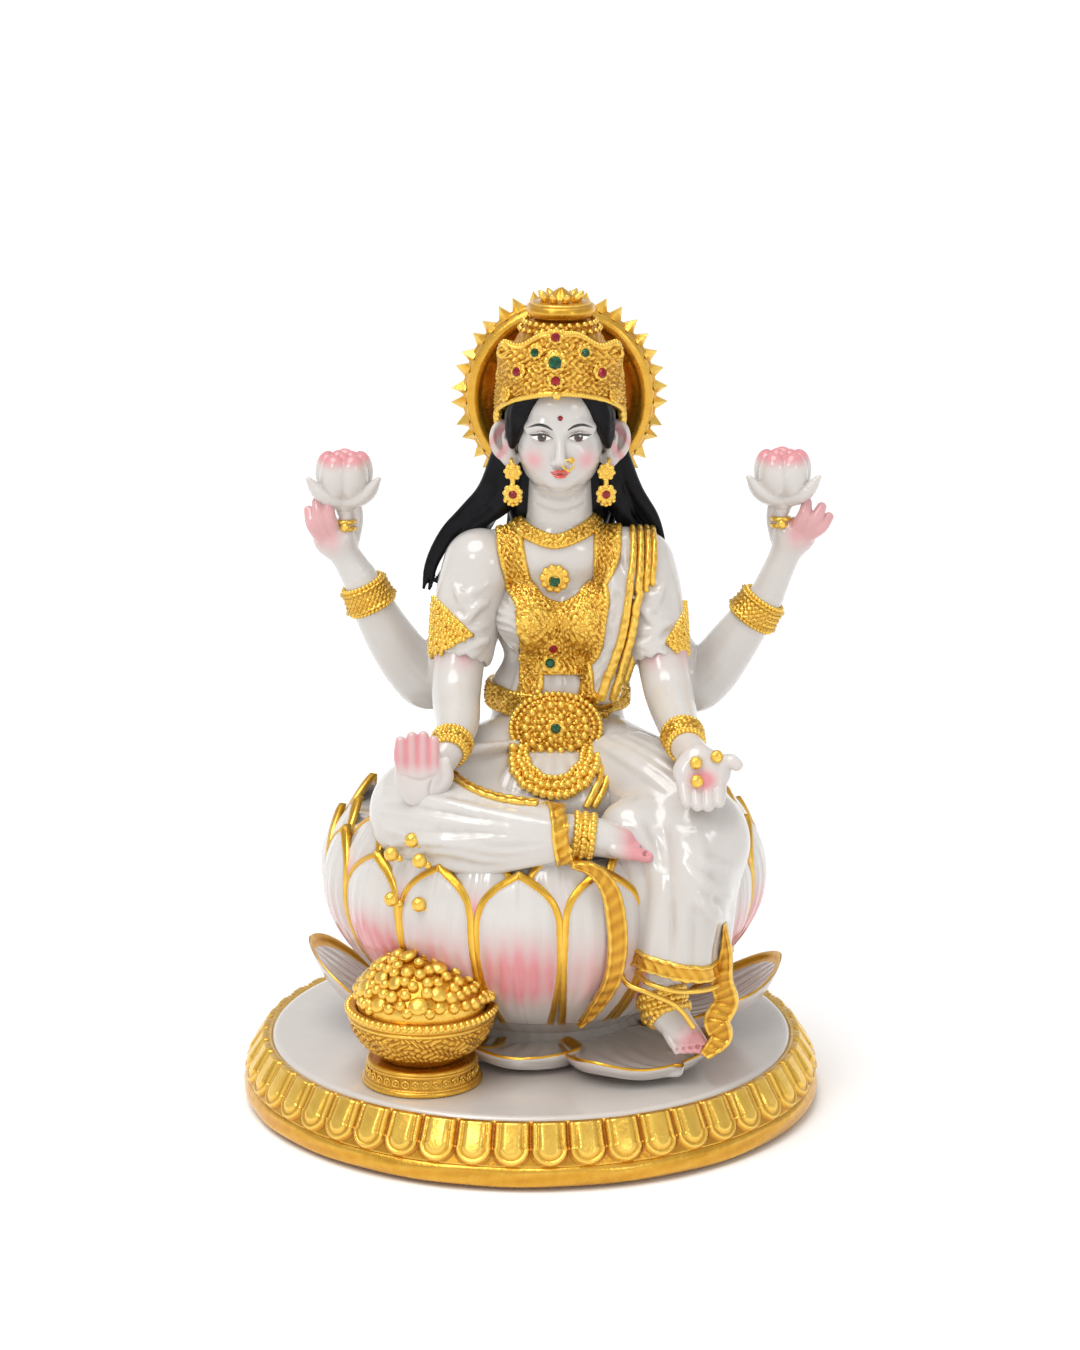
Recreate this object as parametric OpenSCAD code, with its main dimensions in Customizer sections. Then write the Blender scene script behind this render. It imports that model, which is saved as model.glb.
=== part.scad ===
// Seated four-armed goddess figurine on a lotus throne, cast in marble-look resin.
// Frame: millimetres, +Z up, the figure faces -Y, and the origin is the centre of the underside.
// "right" and "left" are the figure's own, so her right is towards -X.

/* [Plinth] */
// Diameter of the round plinth
plinth_d = 142; // [132:1:150]
// Height of the plinth above the surface it stands on
plinth_h = 16; // [15:0.5:17]
// Diameter of the white disc on top of the plinth
disc_d = 128; // [124:1:129]
// Number of gadroon leaves round the plinth
gadroon_count = 48; // [36:1:52]

/* [Lotus throne] */
// Largest radius of the lotus body, without its petals
lotus_r = 51; // [50:0.5:52]
// Height of the seat above the surface
seat_z = 73; // [72:0.5:74]
// Petals in each ring of the lotus
petal_count = 16; // [14:1:18]
// Thickness of a lotus petal
petal_t = 2.2; // [1.6:0.1:2.6]

/* [Coin pot] */
// Radius of the pot's rim
pot_r = 18; // [16:0.5:18.5]
// Height of the pot above the disc
pot_h = 19; // [18:0.5:20]

/* [Halo] */
// Radius of the halo to the tips of its rays
halo_r = 26.5; // [25:0.5:28]
// Number of rays
ray_count = 36; // [24:1:40]

/* [Hidden] */

gap = 0.06;          // clearance between pieces that are glued together
resin = "ivory";
gold = "goldenrod";
$fn = 48;
soft = 14;           // $fn of the plain shapes inside hulls
fine = 6;            // $fn of folds, fingers and other small shapes inside hulls

plinth_r = plinth_d / 2;
felt_h = 0.8;
lotus_c = [3, 5];    // lotus axis
foot_z = 26;         // height where the lotus body leaves the ring of base petals
halo_c = [7, 16, 172];
total_h = 200;
pot_c = [-26, -37];

// Skeleton of the figure
waist = [6.5, 9, 99];
chest = [6.5, 8, 120];
head_c = [7, 4, 167.5];
crown_z = 172.5;      // underside of the crown
// Right leg, folded across the seat, and left leg, hanging in front of the lotus
r_hip = [-3, 2, 84];
r_knee = [-27, -20, 81];
r_ankle = [7, -39, 79];
l_hip = [16, 2, 84];
l_knee = [39.5, -33, 75];
l_hem = [34, -39, 48];
l_ankle = [31, -35, 41];
// Front pair of arms
fr_shoulder = [-13, 7, 131];
fr_cuff = [-17.2, -1.6, 109.5];
fr_elbow = [-18.5, -5, 102];
fr_wrist = [-21.5, -25, 94];
fr_palm = [-25.8, -33.5, 90.6];
fl_shoulder = [27, 7, 131];
fl_cuff = [32, -1.6, 109];
fl_elbow = [33, -4, 104];
fl_wrist = [37, -26, 96.5];
fl_palm = [40.5, -38, 93.2];
// Rear pair of arms, raised with a lotus bud in each hand
rr_shoulder = [-8, 17, 127];
rr_elbow = [-25, 17, 97];
rr_wrist = [-42, 15, 126];
rr_palm = [-46, 15, 138];
rr_bud = [-45.4, 15, 151.5];
rl_shoulder = [22, 17, 127];
rl_elbow = [40, 17, 96];
rl_wrist = [57.5, 15, 121];
rl_palm = [65.5, 15, 138];
rl_bud = [61.2, 15, 152];

function mix(a, b, t) = a + (b - a) * t;

// ---------- helpers ----------
// An egg is a hull of its own, so that an organic node is taken as one mesh
module egg(p, s, turn = [0, 0, 0], fn = soft)
    hull() translate(p) rotate(turn) scale(s) sphere(1, $fn = fn);
// A limb is a chain of tapered links through points p with radii r
module limb(p, r, fn = soft)
    for (i = [0:len(p) - 2])
        hull() {
            translate(p[i]) sphere(r[i], $fn = fn);
            translate(p[i + 1]) sphere(r[i + 1], $fn = fn);
        }
// Puts its children at p with their Z along the line from p to q
module aim(p, q) {
    d = q - p;
    translate(p)
        rotate([0, acos(d[2] / norm(d)), atan2(d[1], d[0])])
            children();
}
module torus(r, t) rotate_extrude() translate([r, 0]) circle(t, $fn = 24);

// ---------- plinth ----------
module felt_pad() color("dimgray") cylinder(r = plinth_r - 4, h = felt_h, $fn = 96);
module plinth_moulding() color(gold)
    difference() {
        rotate_extrude($fn = 96)
            polygon([[0, felt_h + gap], [plinth_r - 0.6, felt_h + gap], [plinth_r, 1.6], [plinth_r, 5],
                     [plinth_r - 1.2, 5.8], [plinth_r - 6.5, plinth_h - 1.6],
                     [disc_d / 2 + 0.4, plinth_h - 0.6], [disc_d / 2 + gap, plinth_h - 0.6],
                     [disc_d / 2 + gap, plinth_h - 3], [0, plinth_h - 3]]);
        translate([lotus_c[0], lotus_c[1], -1]) cylinder(r = 2.1, h = plinth_h);
    }
// One leaf, lying on the slope of the moulding
module gadroon() {
    leaf_w = 2 * PI * plinth_r / gadroon_count * 0.44;
    translate([plinth_r - 4.1, 0, 10.8]) rotate([0, 59, 0]) rotate([0, 0, 90])
        linear_extrude(1.5) {
            translate([0, 1.8]) circle(leaf_w, $fn = 24);
            translate([-leaf_w, -5]) square([2 * leaf_w, 6.8]);
        }
}
module plinth_gadroons() color(gold)
    difference() {
        for (i = [0:gadroon_count - 1]) rotate([0, 0, (i + 0.5) * 360 / gadroon_count]) gadroon();
        rotate_extrude($fn = 96)
            polygon([[0, 4], [plinth_r + gap, 4], [plinth_r + gap, 5.05], [plinth_r - 1.14, 5.87],
                     [plinth_r - 6.45, plinth_h - 1.54], [disc_d / 2 + 0.4, plinth_h - 0.5],
                     [0, plinth_h + 4]]);
    }
module plinth_disc() color(resin)
    difference() {
        translate([0, 0, plinth_h - 3 + gap]) cylinder(r = disc_d / 2, h = 3 - gap, $fn = 96);
        translate([lotus_c[0], lotus_c[1], 0]) cylinder(r = 2.1, h = plinth_h + 1);
    }

// ---------- lotus throne ----------
// Radius of the lotus body at height z: a foot that swells to lotus_r and closes in to the seat
function body_r(z) = lotus_r - 19 * pow(max(0, (56 - z) / 30), 2) - 6 * pow(max(0, (z - 56) / 17), 2);
module lotus_body(grow = 0, top = seat_z - 3)
    translate([lotus_c[0], lotus_c[1], 0])
        rotate_extrude($fn = 64)
            polygon(concat([[0, plinth_h + gap]],
                           [[27 + grow, plinth_h + gap]],
                           [for (z = [foot_z - 4:(top - foot_z + 4) / 10:top + 0.01]) [body_r(z) + grow, z]],
                           [[0, top]]));
module lotus_core() color(resin)
    difference() {
        lotus_body();
        translate([lotus_c[0], lotus_c[1], 0]) cylinder(r = 2.1, h = 34);
    }
module seat_pod() color(resin)
    translate([lotus_c[0], lotus_c[1], seat_z - 3 + gap])
        rotate_extrude($fn = 64)
            polygon([[0, 0], [body_r(seat_z) - 4, 0], [body_r(seat_z) - 6, 3 - gap], [0, 3 - gap]]);
// Half width of a petal at height s of 0..1: narrow at the foot, widest in the middle, pointed
widest = 0.55;
function petal_half(w, s) =
    w * (s < widest ? mix(0.62, 1, sin(90 * s / widest)) : cos(90 * pow((s - widest) / (1 - widest), 1.3)));
module petal_shape(w, z0, z1)
    let (n = 9)
    polygon(concat([for (i = [0:n]) [petal_half(w, i / n), mix(z0, z1, i / n)]],
                   [for (i = [n - 1:-1:0]) [-petal_half(w, i / n), mix(z0, z1, i / n)]]));
// One upright petal: a slice of a shell that follows the body, cut to the petal's outline
module upright_petal(r0, w, z0, z1)
    intersection() {
        rotate([0, 0, -20]) rotate_extrude(angle = 40, $fn = 64)
            let (n = 8, z = [for (i = [0:n]) mix(z0 - 1, z1 + 1, i / n)])
            polygon(concat([for (i = [0:n]) [body_r(z[i]) + r0, z[i]]],
                           [for (i = [n:-1:0]) [body_r(z[i]) + r0 + petal_t, z[i]]]));
        rotate([90, 0, 90]) linear_extrude(80) petal_shape(w, z0, z1);
    }
module petal_ring(r0, w, z0, z1, shift)
    translate([lotus_c[0], lotus_c[1], 0])
        for (i = [0:petal_count - 1])
            rotate([0, 0, -96.5 + shift + i * 360 / petal_count]) upright_petal(r0, w, z0, z1);
module lotus_outer_petals() color(resin) petal_ring(petal_t + 3 * gap, 9.6, foot_z + 1, 70.5, 0);
module lotus_inner_petals() color(resin) petal_ring(gap, 8.6, 48, 75.8, 180 / petal_count);
// Spreading petals that lie on the disc: [angle, reach, tip height, half width]
base_petals = [[-8, 42, 22, 15], [34, 57, 22, 18], [85, 59, 34, 16], [130, 56, 33, 15],
               [178, 55, 33, 15], [226, 56, 34, 15], [272, 57, 38, 16], [318, 52, 26, 14]];
module base_petal(reach, tip_z, w) {
    z = plinth_h + 4.2;
    hull() {
        translate([26, 0, z]) scale([3, w * 0.7, 4]) sphere(1, $fn = fine);
        translate([reach * 0.72, 0, z + 0.4]) scale([6, w, 4]) sphere(1, $fn = 10);
    }
    hull() {
        translate([reach * 0.72, 0, z + 0.4]) scale([6, w, 4]) sphere(1, $fn = 10);
        translate([reach - 2.5, 0, mix(z, tip_z, 0.85)]) scale([2.5, w * 0.4, 2]) sphere(1, $fn = fine);
    }
}
module lotus_base_body()
    translate([lotus_c[0], lotus_c[1], 0])
        for (p = base_petals) rotate([0, 0, p[0] - 90]) base_petal(p[1], p[2], p[3]);
module lotus_base_petals() color(resin)
    difference() {
        lotus_base_body();
        lotus_body(grow = gap);
        translate([0, 0, -1]) cylinder(r = 90, h = plinth_h + 1 + gap);
        translate([lotus_c[0], lotus_c[1], 0]) rotate_extrude() petal_zone();
        translate([pot_c[0], pot_c[1], 0]) cylinder(r = 15.2, h = 60);
    }
module petal_zone()
    polygon([[20, foot_z + 0.9], [body_r(foot_z) + 2 * petal_t + 0.8, foot_z + 0.9],
             [62, 48], [62, 90], [20, 90]]);

// ---------- coin pot ----------
module at_pot() translate([pot_c[0], pot_c[1], plinth_h + gap]) children();
module pot_foot() color(gold) at_pot()
    rotate_extrude()
        polygon([[0, 0], [14.5, 0], [14.5, 1.2], [13.8, 1.6], [12.8, 4.8], [13.4, 5.2], [13.4, 6], [0, 6]]);
module pot_bowl() color(gold) at_pot()
    rotate_extrude()
        polygon([[0, 6 + gap], [9.5, 6 + gap], [11.2, 7.4], [14.6, 10.5], [16.4, 14],
                 [pot_r - 0.8, pot_h - 2],
                 [pot_r, pot_h - 1.4], [pot_r, pot_h - 0.4], [pot_r - 1, pot_h], [pot_r - 2.2, pot_h],
                 [pot_r - 3, 13], [0, 9.5]]);
module pot_coins() color(gold) at_pot() {
    translate([0, 0, 10])
        rotate_extrude()
            polygon([[0, 0], [10, 2], [pot_r - 3.4, 4], [pot_r - 2.5, pot_h - 10], [pot_r - 3.4, pot_h - 7],
                     [11.5, pot_h - 3], [7, pot_h + 0.6], [3, pot_h + 2.6], [0, pot_h + 3.2]]);
    for (i = [1:9])
        rotate([0, 0, 137.5 * i]) translate([14 - 1.3 * i, 0, pot_h + 2.2 + 1.2 * i]) rotate([0, 24, 0])
            cylinder(r = 2.3, h = 1.3, $fn = 24);
}
coin_drops = [[-26.5, -34.5, 75], [-25, -39.6, 70.5], [-32, -34, 69], [-25, -43, 61.4], [-32, -38, 59.8]];
module falling_coins() color(gold)
    for (p = coin_drops) translate(p) sphere(1.7, $fn = 24);

// ---------- drapery and legs ----------
belt_z = 92;         // height where the torso meets the hip drape
belt_low = 95.6;     // lower edge of the belt
belt_h = 6.8;
module below(z) translate([-100, -100, z - 300]) cube([300, 300, 300]);
module above(z) translate([-100, -100, z]) cube([300, 300, 100]);
module hip_body() {
    egg([6, 11, 82], [20, 15, 15]);
    egg([6, -6, 80], [22, 18, 9]);
    egg([7, 9, 92], [17.5, 12, 10]);
}
module right_leg_body() {
    limb([r_hip, [-20, -12, 80], r_knee], [12.5, 12, 11.5]);
    limb([r_knee, [-12, -32, 78], r_ankle], [11, 9.5, 6.5]);
    egg([-2, -22, 78], [22, 16, 8]);
}
module left_leg_body() {
    limb([l_hip, [31, -18, 81], l_knee], [13, 12, 11]);
    limb([l_knee, [38, -39, 62], l_hem], [11, 10, 8.5]);
    limb([[27, -36, 72], [28, -38, 48]], [8, 6]);
    limb([[40.5, -34, 66], [38.5, -33, 46]], [7, 6]);
}
module lotus_solid() {
    lotus_body(grow = gap, top = seat_z - 3 + gap);
    seat_pod();
}
module hip_drape() color(resin)
    difference() {
        hip_body();
        for (t = [0:4]) egg([-10 + 8 * t, -25, 84], [1, 3, 1.4], fn = fine);
        above(belt_z - gap);
        lotus_solid();
        lotus_inner_petals();
        translate([-100, -100, 0]) cube([300, 300, seat_z]);
    }
module right_leg_drape() color(resin)
    difference() {
        right_leg_body();
        for (t = [0:4]) egg([-12 + 4 * t, -44, 81 + t], [3, 1, 0.5], [0, 20, 0], fn = fine);
        hip_body();
        lotus_solid();
        lotus_inner_petals();
        lotus_outer_petals();
        translate([-100, -100, 0]) cube([300, 300, 70]);
        past_right_hem();
    }
module left_leg_drape() color(resin)
    difference() {
        left_leg_body();
        hip_body();
        right_leg_body();
        right_foot_body(0.3);
        lotus_solid();
        lotus_inner_petals();
        lotus_outer_petals();
        below(42);
    }
// Gold border bands at the ends of the two leg drapes
module left_hem_border() color(gold)
    difference() {
        union() {
            limb([[25.5, -36.5, 38.8], [32.5, -42, 38.4], [40.5, -39, 38.6], [43, -30, 39.4]],
                 [2.7, 2.9, 2.9, 2.5]);
            limb([[27, -33, 39.2], [41.5, -29, 39.4]], [2.8, 2.8]);
            limb([[44.6, -31, 40], [44.8, -38, 30], [42.8, -42, 23.5]], [1.7, 1.7, 1.4]);
        }
        above(42 - gap);
        lotus_solid();
        lotus_base_body();
        lotus_outer_petals();
        left_foot_body(0.3);
    }
module right_hem_border() color(gold)
    difference() {
        limb([[4, -34, 84.5], [6.3, -41, 83], [8.3, -46.5, 77], [8.6, -45, 72]], [1.9, 1.9, 1.9, 1.7]);
        right_leg_drape_solid();
        left_leg_body();
        hip_body();
        right_foot_body(0.3);
        lotus_outer_petals();
        lotus_inner_petals();
    }
module past_right_hem() translate([7.5, -60, 60]) rotate([0, 12, 0]) cube([40, 40, 60]);
module right_leg_drape_solid()
    difference() {
        right_leg_body();
        past_right_hem();
    }

// ---------- feet and anklets ----------
module toes(p, step, dir, r)
    for (i = [0:4])
        limb([p + i * step, p + i * step + (4.2 - 0.5 * i) * dir], [r - 0.14 * i, r - 0.3 - 0.14 * i],
             fn = fine);
module right_foot_body(grow = 0) {
    limb([r_ankle, [15, -38.5, 77], [21, -38, 75.4]], [5.2 + grow, 4.9 + grow, 4.2 + grow], fn = 14);
    toes([22, -41, 73.6], [0.2, 1.5, 1.1], [0.98, 0.05, -0.15], 1.6 + grow);
}
module left_foot_body(grow = 0) {
    limb([l_ankle, [32.5, -36, 33], [35.4, -39, 28.4]], [5.6 + grow, 4.9 + grow, 3.8 + grow], fn = 14);
    egg([30.5, -31.5, 32.5], [4.6 + grow, 5 + grow, 4.8 + grow]);
    toes([38.6, -38.4, 27.6], [-1.35, -0.9, -0.3], [0.42, -0.62, -0.66], 1.6 + grow);
}
module right_foot() color(resin)
    difference() {
        right_foot_body();
        right_leg_drape_solid();
        hip_body();
        lotus_inner_petals();
        lotus_outer_petals();
    }
module left_foot() color(resin)
    difference() {
        left_foot_body();
        above(42 - gap);
        lotus_solid();
        lotus_base_body();
        lotus_outer_petals();
    }
// Two strings of beads, drawn as plain rings round the ankle
module anklet(p, q, r)
    aim(p, q) for (k = [0:1]) translate([0, 0, 2.3 * k]) torus(r - 0.15 * k, 1.1);
module right_anklet() color(gold) anklet([12, -38.7, 77.8], [15, -38.5, 77], 6);
module left_anklet() color(gold) anklet([31.5, -35.4, 37.4], [32.5, -36, 33], 6.3);

// ---------- torso ----------
module torso_body(grow = 0) {
    egg(waist, [17.5 + grow, 11.5 + grow, 12 + grow], fn = 16);
    egg(chest, [16.5 + grow, 12 + grow, 17 + grow], fn = 16);
    limb([[-9, 8, 131.5], [23, 8, 131.5]], [8.6 + grow, 8.6 + grow]);
    egg([-0.5, -0.5, 120.5], [8 + grow, 7 + grow, 7.5 + grow]);
    egg([14, -0.5, 120.5], [8 + grow, 7 + grow, 7.5 + grow]);
    limb([[0.4, 8, 137.4], [12.8, 8, 137.2]], [7.6 + grow, 7.5 + grow]);
}
module torso() color(resin)
    difference() {
        torso_body();
        for (t = [-1:2:1]) egg([7 + 17 * t, 0, 112], [1, 6, 0.6], [0, 20 * t, 0], fn = fine);
        below(belt_z);
        neck_body(gap);
    }
module band(points, r, fn = 10) limb(points, [for (q = points) r], fn = fn);
module shoulder_sash() color(gold)
    difference() {
        for (k = [0, 3.6])
            band([[24.6 + k, 7, 141], [25 + k, 0.6, 137.2], [24.2 + k, -4.5, 127], [22.2 + k, -6, 115],
                  [18.4 + k, -4, 103]], 1.3);
        torso_body();
        garland_body();
    }
module oval(w, d) scale([w, d]) circle(1, $fn = 64);
module belt() color(gold) {
    translate([waist[0], waist[1], belt_low])
        linear_extrude(belt_h) difference() { oval(18.9, 12.9); oval(17.6, 11.6); }
    translate([6, -3, 95.4]) rotate([90, 0, 0]) cylinder(r = 6.2, h = 3.4);
}
module belt_swag() color(gold)
    difference() {
        union() {
            band([[-4.5, -4.6, 92], [-3.6, -9.5, 87], [0.5, -12.5, 81], [5.5, -13.6, 78.6],
                  [10.5, -12.5, 81], [14.8, -9.5, 87], [16.2, -4.6, 92]], 1.9);
            band([[16.5, -9, 91], [17.5, -12, 84.5], [15, -22, 79]], 1.5);
            band([[-16, -16, 90], [-6, -27, 87.5], [4, -33, 86]], 1.5);
        }
        hip_body();
        right_leg_body();
        left_leg_body();
        right_hem_border();
        above(belt_z - gap);
    }
module necklace() color(gold)
    translate([6.6, 6.8, 144]) rotate([24, 0, 0]) torus(11.4, 1.6);
module garland_body() {
    band([[-5, 7.5, 142], [-5.4, -1, 138.4], [-5.2, -5.6, 129], [-3.4, -7.5, 120], [-0.8, -8, 113]], 2.7);
    band([[18.8, 7.5, 142.2], [19.2, -1, 138.2], [18.6, -5.6, 129], [16.6, -7.5, 120], [13.6, -8, 113]], 2.7);
    hull() {
        translate([-2.2, -7, 121.4]) sphere(2.2, $fn = fine);
        translate([15.8, -6.9, 121.7]) sphere(2.2, $fn = fine);
        translate([0.6, -4, 104.6]) sphere(2.2, $fn = fine);
        translate([13, -4.1, 104.5]) sphere(2.2, $fn = fine);
        translate([6.3, -7.4, 111]) sphere(2.2, $fn = fine);
    }
}
module garland() color(gold)
    difference() {
        garland_body();
        torso_body();
        belt_space();
        right_sleeve_body();
        left_sleeve_body();
    }
pendant_c = [6, -0.7, 131.2];
module pendant() color(gold)
    translate(pendant_c) rotate([84, 0, 0])
        rotate_extrude()
            polygon([[0, 0], [1.8, 0], [1.8, 3], [3.5, 3], [3.6, 3.8], [3, 4.5], [1.6, 4.9], [0, 4.9]]);

// ---------- front arms ----------
module right_sleeve_body() limb([fr_shoulder, [-15.5, 4, 122], fr_cuff], [9.3, 9, 7.6]);
module left_sleeve_body() limb([fl_shoulder, [30, 4, 122], fl_cuff], [9.3, 9, 7.6]);
module cuff_cut(elbow, cuff) aim(cuff, elbow) translate([0, 0, 1]) cylinder(r = 20, h = 40);
module sleeve_folds(p)
    for (k = [0:4]) egg(p + [0, -9.5, 3 - 3.4 * k], [5, 1.2, 0.5], [0, -18 + 9 * k, 0], fn = fine);
module right_sleeve() color(resin)
    difference() {
        right_sleeve_body();
        sleeve_folds([-18, 4, 122]);
        torso_body();
        cuff_cut(fr_elbow, fr_cuff);
        front_right_arm_body();
        rear_right_arm_body();
        right_filigree();
    }
module left_sleeve() color(resin)
    difference() {
        left_sleeve_body();
        sleeve_folds([33, 4, 122]);
        torso_body();
        cuff_cut(fl_elbow, fl_cuff);
        front_left_arm_body();
        rear_left_arm_body();
        left_filigree();
    }
// A raised leaf of scrollwork on the outside of each sleeve
module filigree(p, turn)
    translate(p) rotate([0, 0, turn]) {
        egg([0, 0, 0], [2.4, 5.2, 6.4]);
        for (k = [0:3])
            egg([-1.7, 1.9 * cos(90 * k + 20), 2.7 * sin(90 * k + 20)], [1.3, 1.3, 1.5], fn = fine);
    }
module right_filigree() filigree([-21.6, -2.6, 118], 41);
module left_filigree() filigree([37.3, -1.9, 117.5], 149);
module sleeve_filigree() color(gold) {
    right_filigree();
    left_filigree();
}
module front_right_arm_body()
    limb([[-15.5, 2.5, 119], fr_cuff, fr_elbow, fr_wrist], [6, 6.4, 6, 4], fn = 16);
module front_left_arm_body()
    limb([[30.5, 2.5, 119], fl_cuff, fl_elbow, fl_wrist], [6, 6.4, 6, 4], fn = 16);
module front_right_arm() color(resin)
    difference() {
        front_right_arm_body();
        torso_body();
        fr_hand_body();
        rear_right_arm_body();
        hip_body();
    }
module front_left_arm() color(resin)
    difference() {
        front_left_arm_body();
        torso_body();
        fl_hand_body();
        rear_left_arm_body();
        hip_body();
    }
// A hand: a palm and four fingers along its +Z, thumb towards +X, palm facing -Y
module hand(bend = 20, long = 8.5, thumb = 1) {
    egg([0, 0, 0], [5.2, 2.6, 5.4]);
    for (i = [0:3])
        translate([-3.6 + 2.4 * i, -0.2, 4]) rotate([bend, 5 * (i - 1.5), 0]) {
            limb([[0, 0, 0], [0, 0, long * 0.5]], [1.5, 1.3], fn = fine);
            translate([0, 0, long * 0.5]) rotate([bend, 0, 0])
                limb([[0, 0, 0], [0, 0, long * 0.45]], [1.3, 1], fn = fine);
        }
    limb([[3 * thumb, -0.8, -2], [6 * thumb, -2, 1.5], [6.6 * thumb, -2.6, 5]], [1.7, 1.4, 1.1], fn = fine);
}
module fr_hand_body() translate(fr_palm) rotate([-8, 6, 8]) scale(1.25) hand(bend = 22, long = 6);
module fl_hand_body()
    translate(fl_palm) rotate([24, 172, 4]) scale(1.15) hand(bend = -14, long = 5.2, thumb = -1);
module front_right_hand() color(resin) fr_hand_body();
module front_left_hand() color(resin) fl_hand_body();
module palm_coins() color(gold) {
    translate([38.7, -41.2, 95.6]) sphere(1.5, $fn = 24);
    translate([39, -42.9, 91.2]) sphere(1.5, $fn = 24);
    translate([44, -41.4, 96.6]) sphere(1.7, $fn = 24);
}
// A broad cuff round the line from p to q: inner radius r, width w, thickness t
module bangle(p, q, r, w, t)
    aim(p, q) {
        rotate_extrude() translate([r, -w / 2]) square([t, w]);
        for (k = [-1, 1]) translate([0, 0, k * (w / 2 - 0.2)]) torus(r + t / 2 + 0.2, t / 2 + 0.2);
    }
module front_right_bangle() color(gold) bangle(fr_wrist + [0.25, 1.8, 0.7], fr_wrist, 4.5, 3, 1.2);
module front_left_bangle() color(gold) bangle(mix(fl_elbow, fl_wrist, 0.84), fl_wrist, 5.1, 5, 1.4);

// ---------- rear arms and lotus buds ----------
rear_arm_r = [6.5, 7.6, 7.4, 6.2, 4.4];
module rear_right_arm_body()
    limb([rr_shoulder, [-17, 17.5, 109], rr_elbow, [-35, 16.5, 110], rr_wrist], rear_arm_r, fn = 16);
module rear_left_arm_body()
    limb([rl_shoulder, [32, 17.5, 108], rl_elbow, [49, 16.5, 107], rl_wrist], rear_arm_r, fn = 16);
module rear_right_arm() color(resin)
    difference() {
        rear_right_arm_body();
        torso_body(gap);
        hip_body();
        hair_strands();
        rear_right_hand_body();
        belt_space();
    }
module rear_left_arm() color(resin)
    difference() {
        rear_left_arm_body();
        torso_body(gap);
        hip_body();
        hair_strands();
        rear_left_hand_body();
        belt_space();
    }
module belt_space()
    translate([waist[0], waist[1], belt_low]) linear_extrude(belt_h) oval(18.9 + gap, 12.9 + gap);
module rear_hand(wrist, palm, side) {
    limb([wrist, palm], [4, 3.8], fn = 16);
    for (i = [0:3])
        limb([palm + [side * (2 * i - 4), -3.2, 2 - 0.5 * i], palm + [side * (2.2 * i - 5.6), -4.6, 6.6 - i],
              palm + [side * (2 * i - 4.4), -3.4, 9.4 - 1.2 * i]], [1.5, 1.3, 1.1], fn = fine);
    limb([palm + [side * 3.4, 1, 0], palm + [side * 5.4, 0, 5]], [1.7, 1.4], fn = fine);
}
module rear_right_hand_body() rear_hand(rr_wrist, rr_palm, 1);
module rear_left_hand_body() rear_hand(rl_wrist, rl_palm, -1);
module rear_right_hand() color(resin)
    difference() {
        rear_right_hand_body();
        bud_body(rr_bud);
    }
module rear_left_hand() color(resin)
    difference() {
        rear_left_hand_body();
        bud_body(rl_bud);
    }
module rear_right_bangle() color(gold) bangle(mix(rr_elbow, rr_wrist, 0.9), rr_wrist, 5.2, 5.6, 1.4);
module rear_left_bangle() color(gold) bangle(mix(rl_elbow, rl_wrist, 0.9), rl_wrist, 5.2, 5.6, 1.4);
module finger_rings() color(gold) {
    aim(mix(rr_wrist, rr_palm, 0.6), rr_palm) torus(4.7, 0.8);
    aim(mix(rl_wrist, rl_palm, 0.6), rl_palm) torus(4.7, 0.8);
}
// A closed bud: a cup of five folded petals above four short spreading leaves
module bud_body(c) {
    egg(c + [0, 0, 0.8], [6.2, 5.9, 6.4]);
    for (i = [0:4])
        rotate_about(c, 72 * i + 19) egg(c + [3.3, 0, 0.9], [3.9, 3.7, 6.3], [0, 9, 11], fn = 9);
    for (i = [0:3])
        rotate_about(c, 90 * i + 4) egg(c + [6, 0, -2.6], [4.7, 3.2, 1.8], [0, -34, 9], fn = 9);
}
module rotate_about(c, a)
    translate(c) rotate([0, 0, a]) translate(-c) children();
module right_lotus_bud() color(resin) bud_body(rr_bud);
module left_lotus_bud() color(resin) bud_body(rl_bud);

// ---------- head, hair and crown ----------
module neck_body(grow = 0) limb([[7, 8.5, 136], [7, 7, 155]], [6.6 + grow, 5.6 + grow], fn = 16);
module head_body(grow = 0) {
    egg(head_c, [11 + grow, 11.5 + grow, 14.6 + grow], fn = 16);
    egg([7, -1, 158.5], [8 + grow, 7 + grow, 6.4 + grow], fn = 18);
}
module ear_body() {
    for (s = [-1, 1]) {
        egg([7 + 12.4 * s, 2.5, 164], [3.6, 2.2, 5], [0, 14 * s, 0], fn = fine);
        egg([7 + 11.2 * s, 1.2, 160], [1.9, 1.6, 2.6], fn = fine);
    }
}
module head() color(resin)
    difference() {
        union() {
            head_body();
            neck_body();
            ear_body();
            egg([7, -7.7, 162.8], [1.5, 2, 3], [-14, 0, 0]);
            egg([7, -7.2, 157.8], [2.6, 1.4, 1.2]);
        }
        for (s = [-1, 1]) egg([7 + 4.4 * s, -9.4, 166.2], [2.6, 1.6, 0.9]);
        crown_solid();
        hair_strands();
    }
module hair_strands() {
    egg([7, 12.5, 161], [14.6, 8, 17]);
    for (s = [-1, 1]) {
        limb([[7 + 10.4 * s, 5, 173], [7 + 13 * s, 9.5, 159.5], [7 + 14 * s, 12, 148],
              [7 + 20 * s, 14, 139], [7 + 25.5 * s, 15.5, 131]], [2, 3.4, 4.6, 4, 2.2], fn = fine);
    }
}
module hair() color("black")
    difference() {
        hair_strands();
        neck_body(gap);
        torso_body(gap);
        right_sleeve_body();
        left_sleeve_body();
        crown_solid();
        halo_space();
    }
crown_c = [7.3, 5.5];
crown_h = 20;
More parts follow.
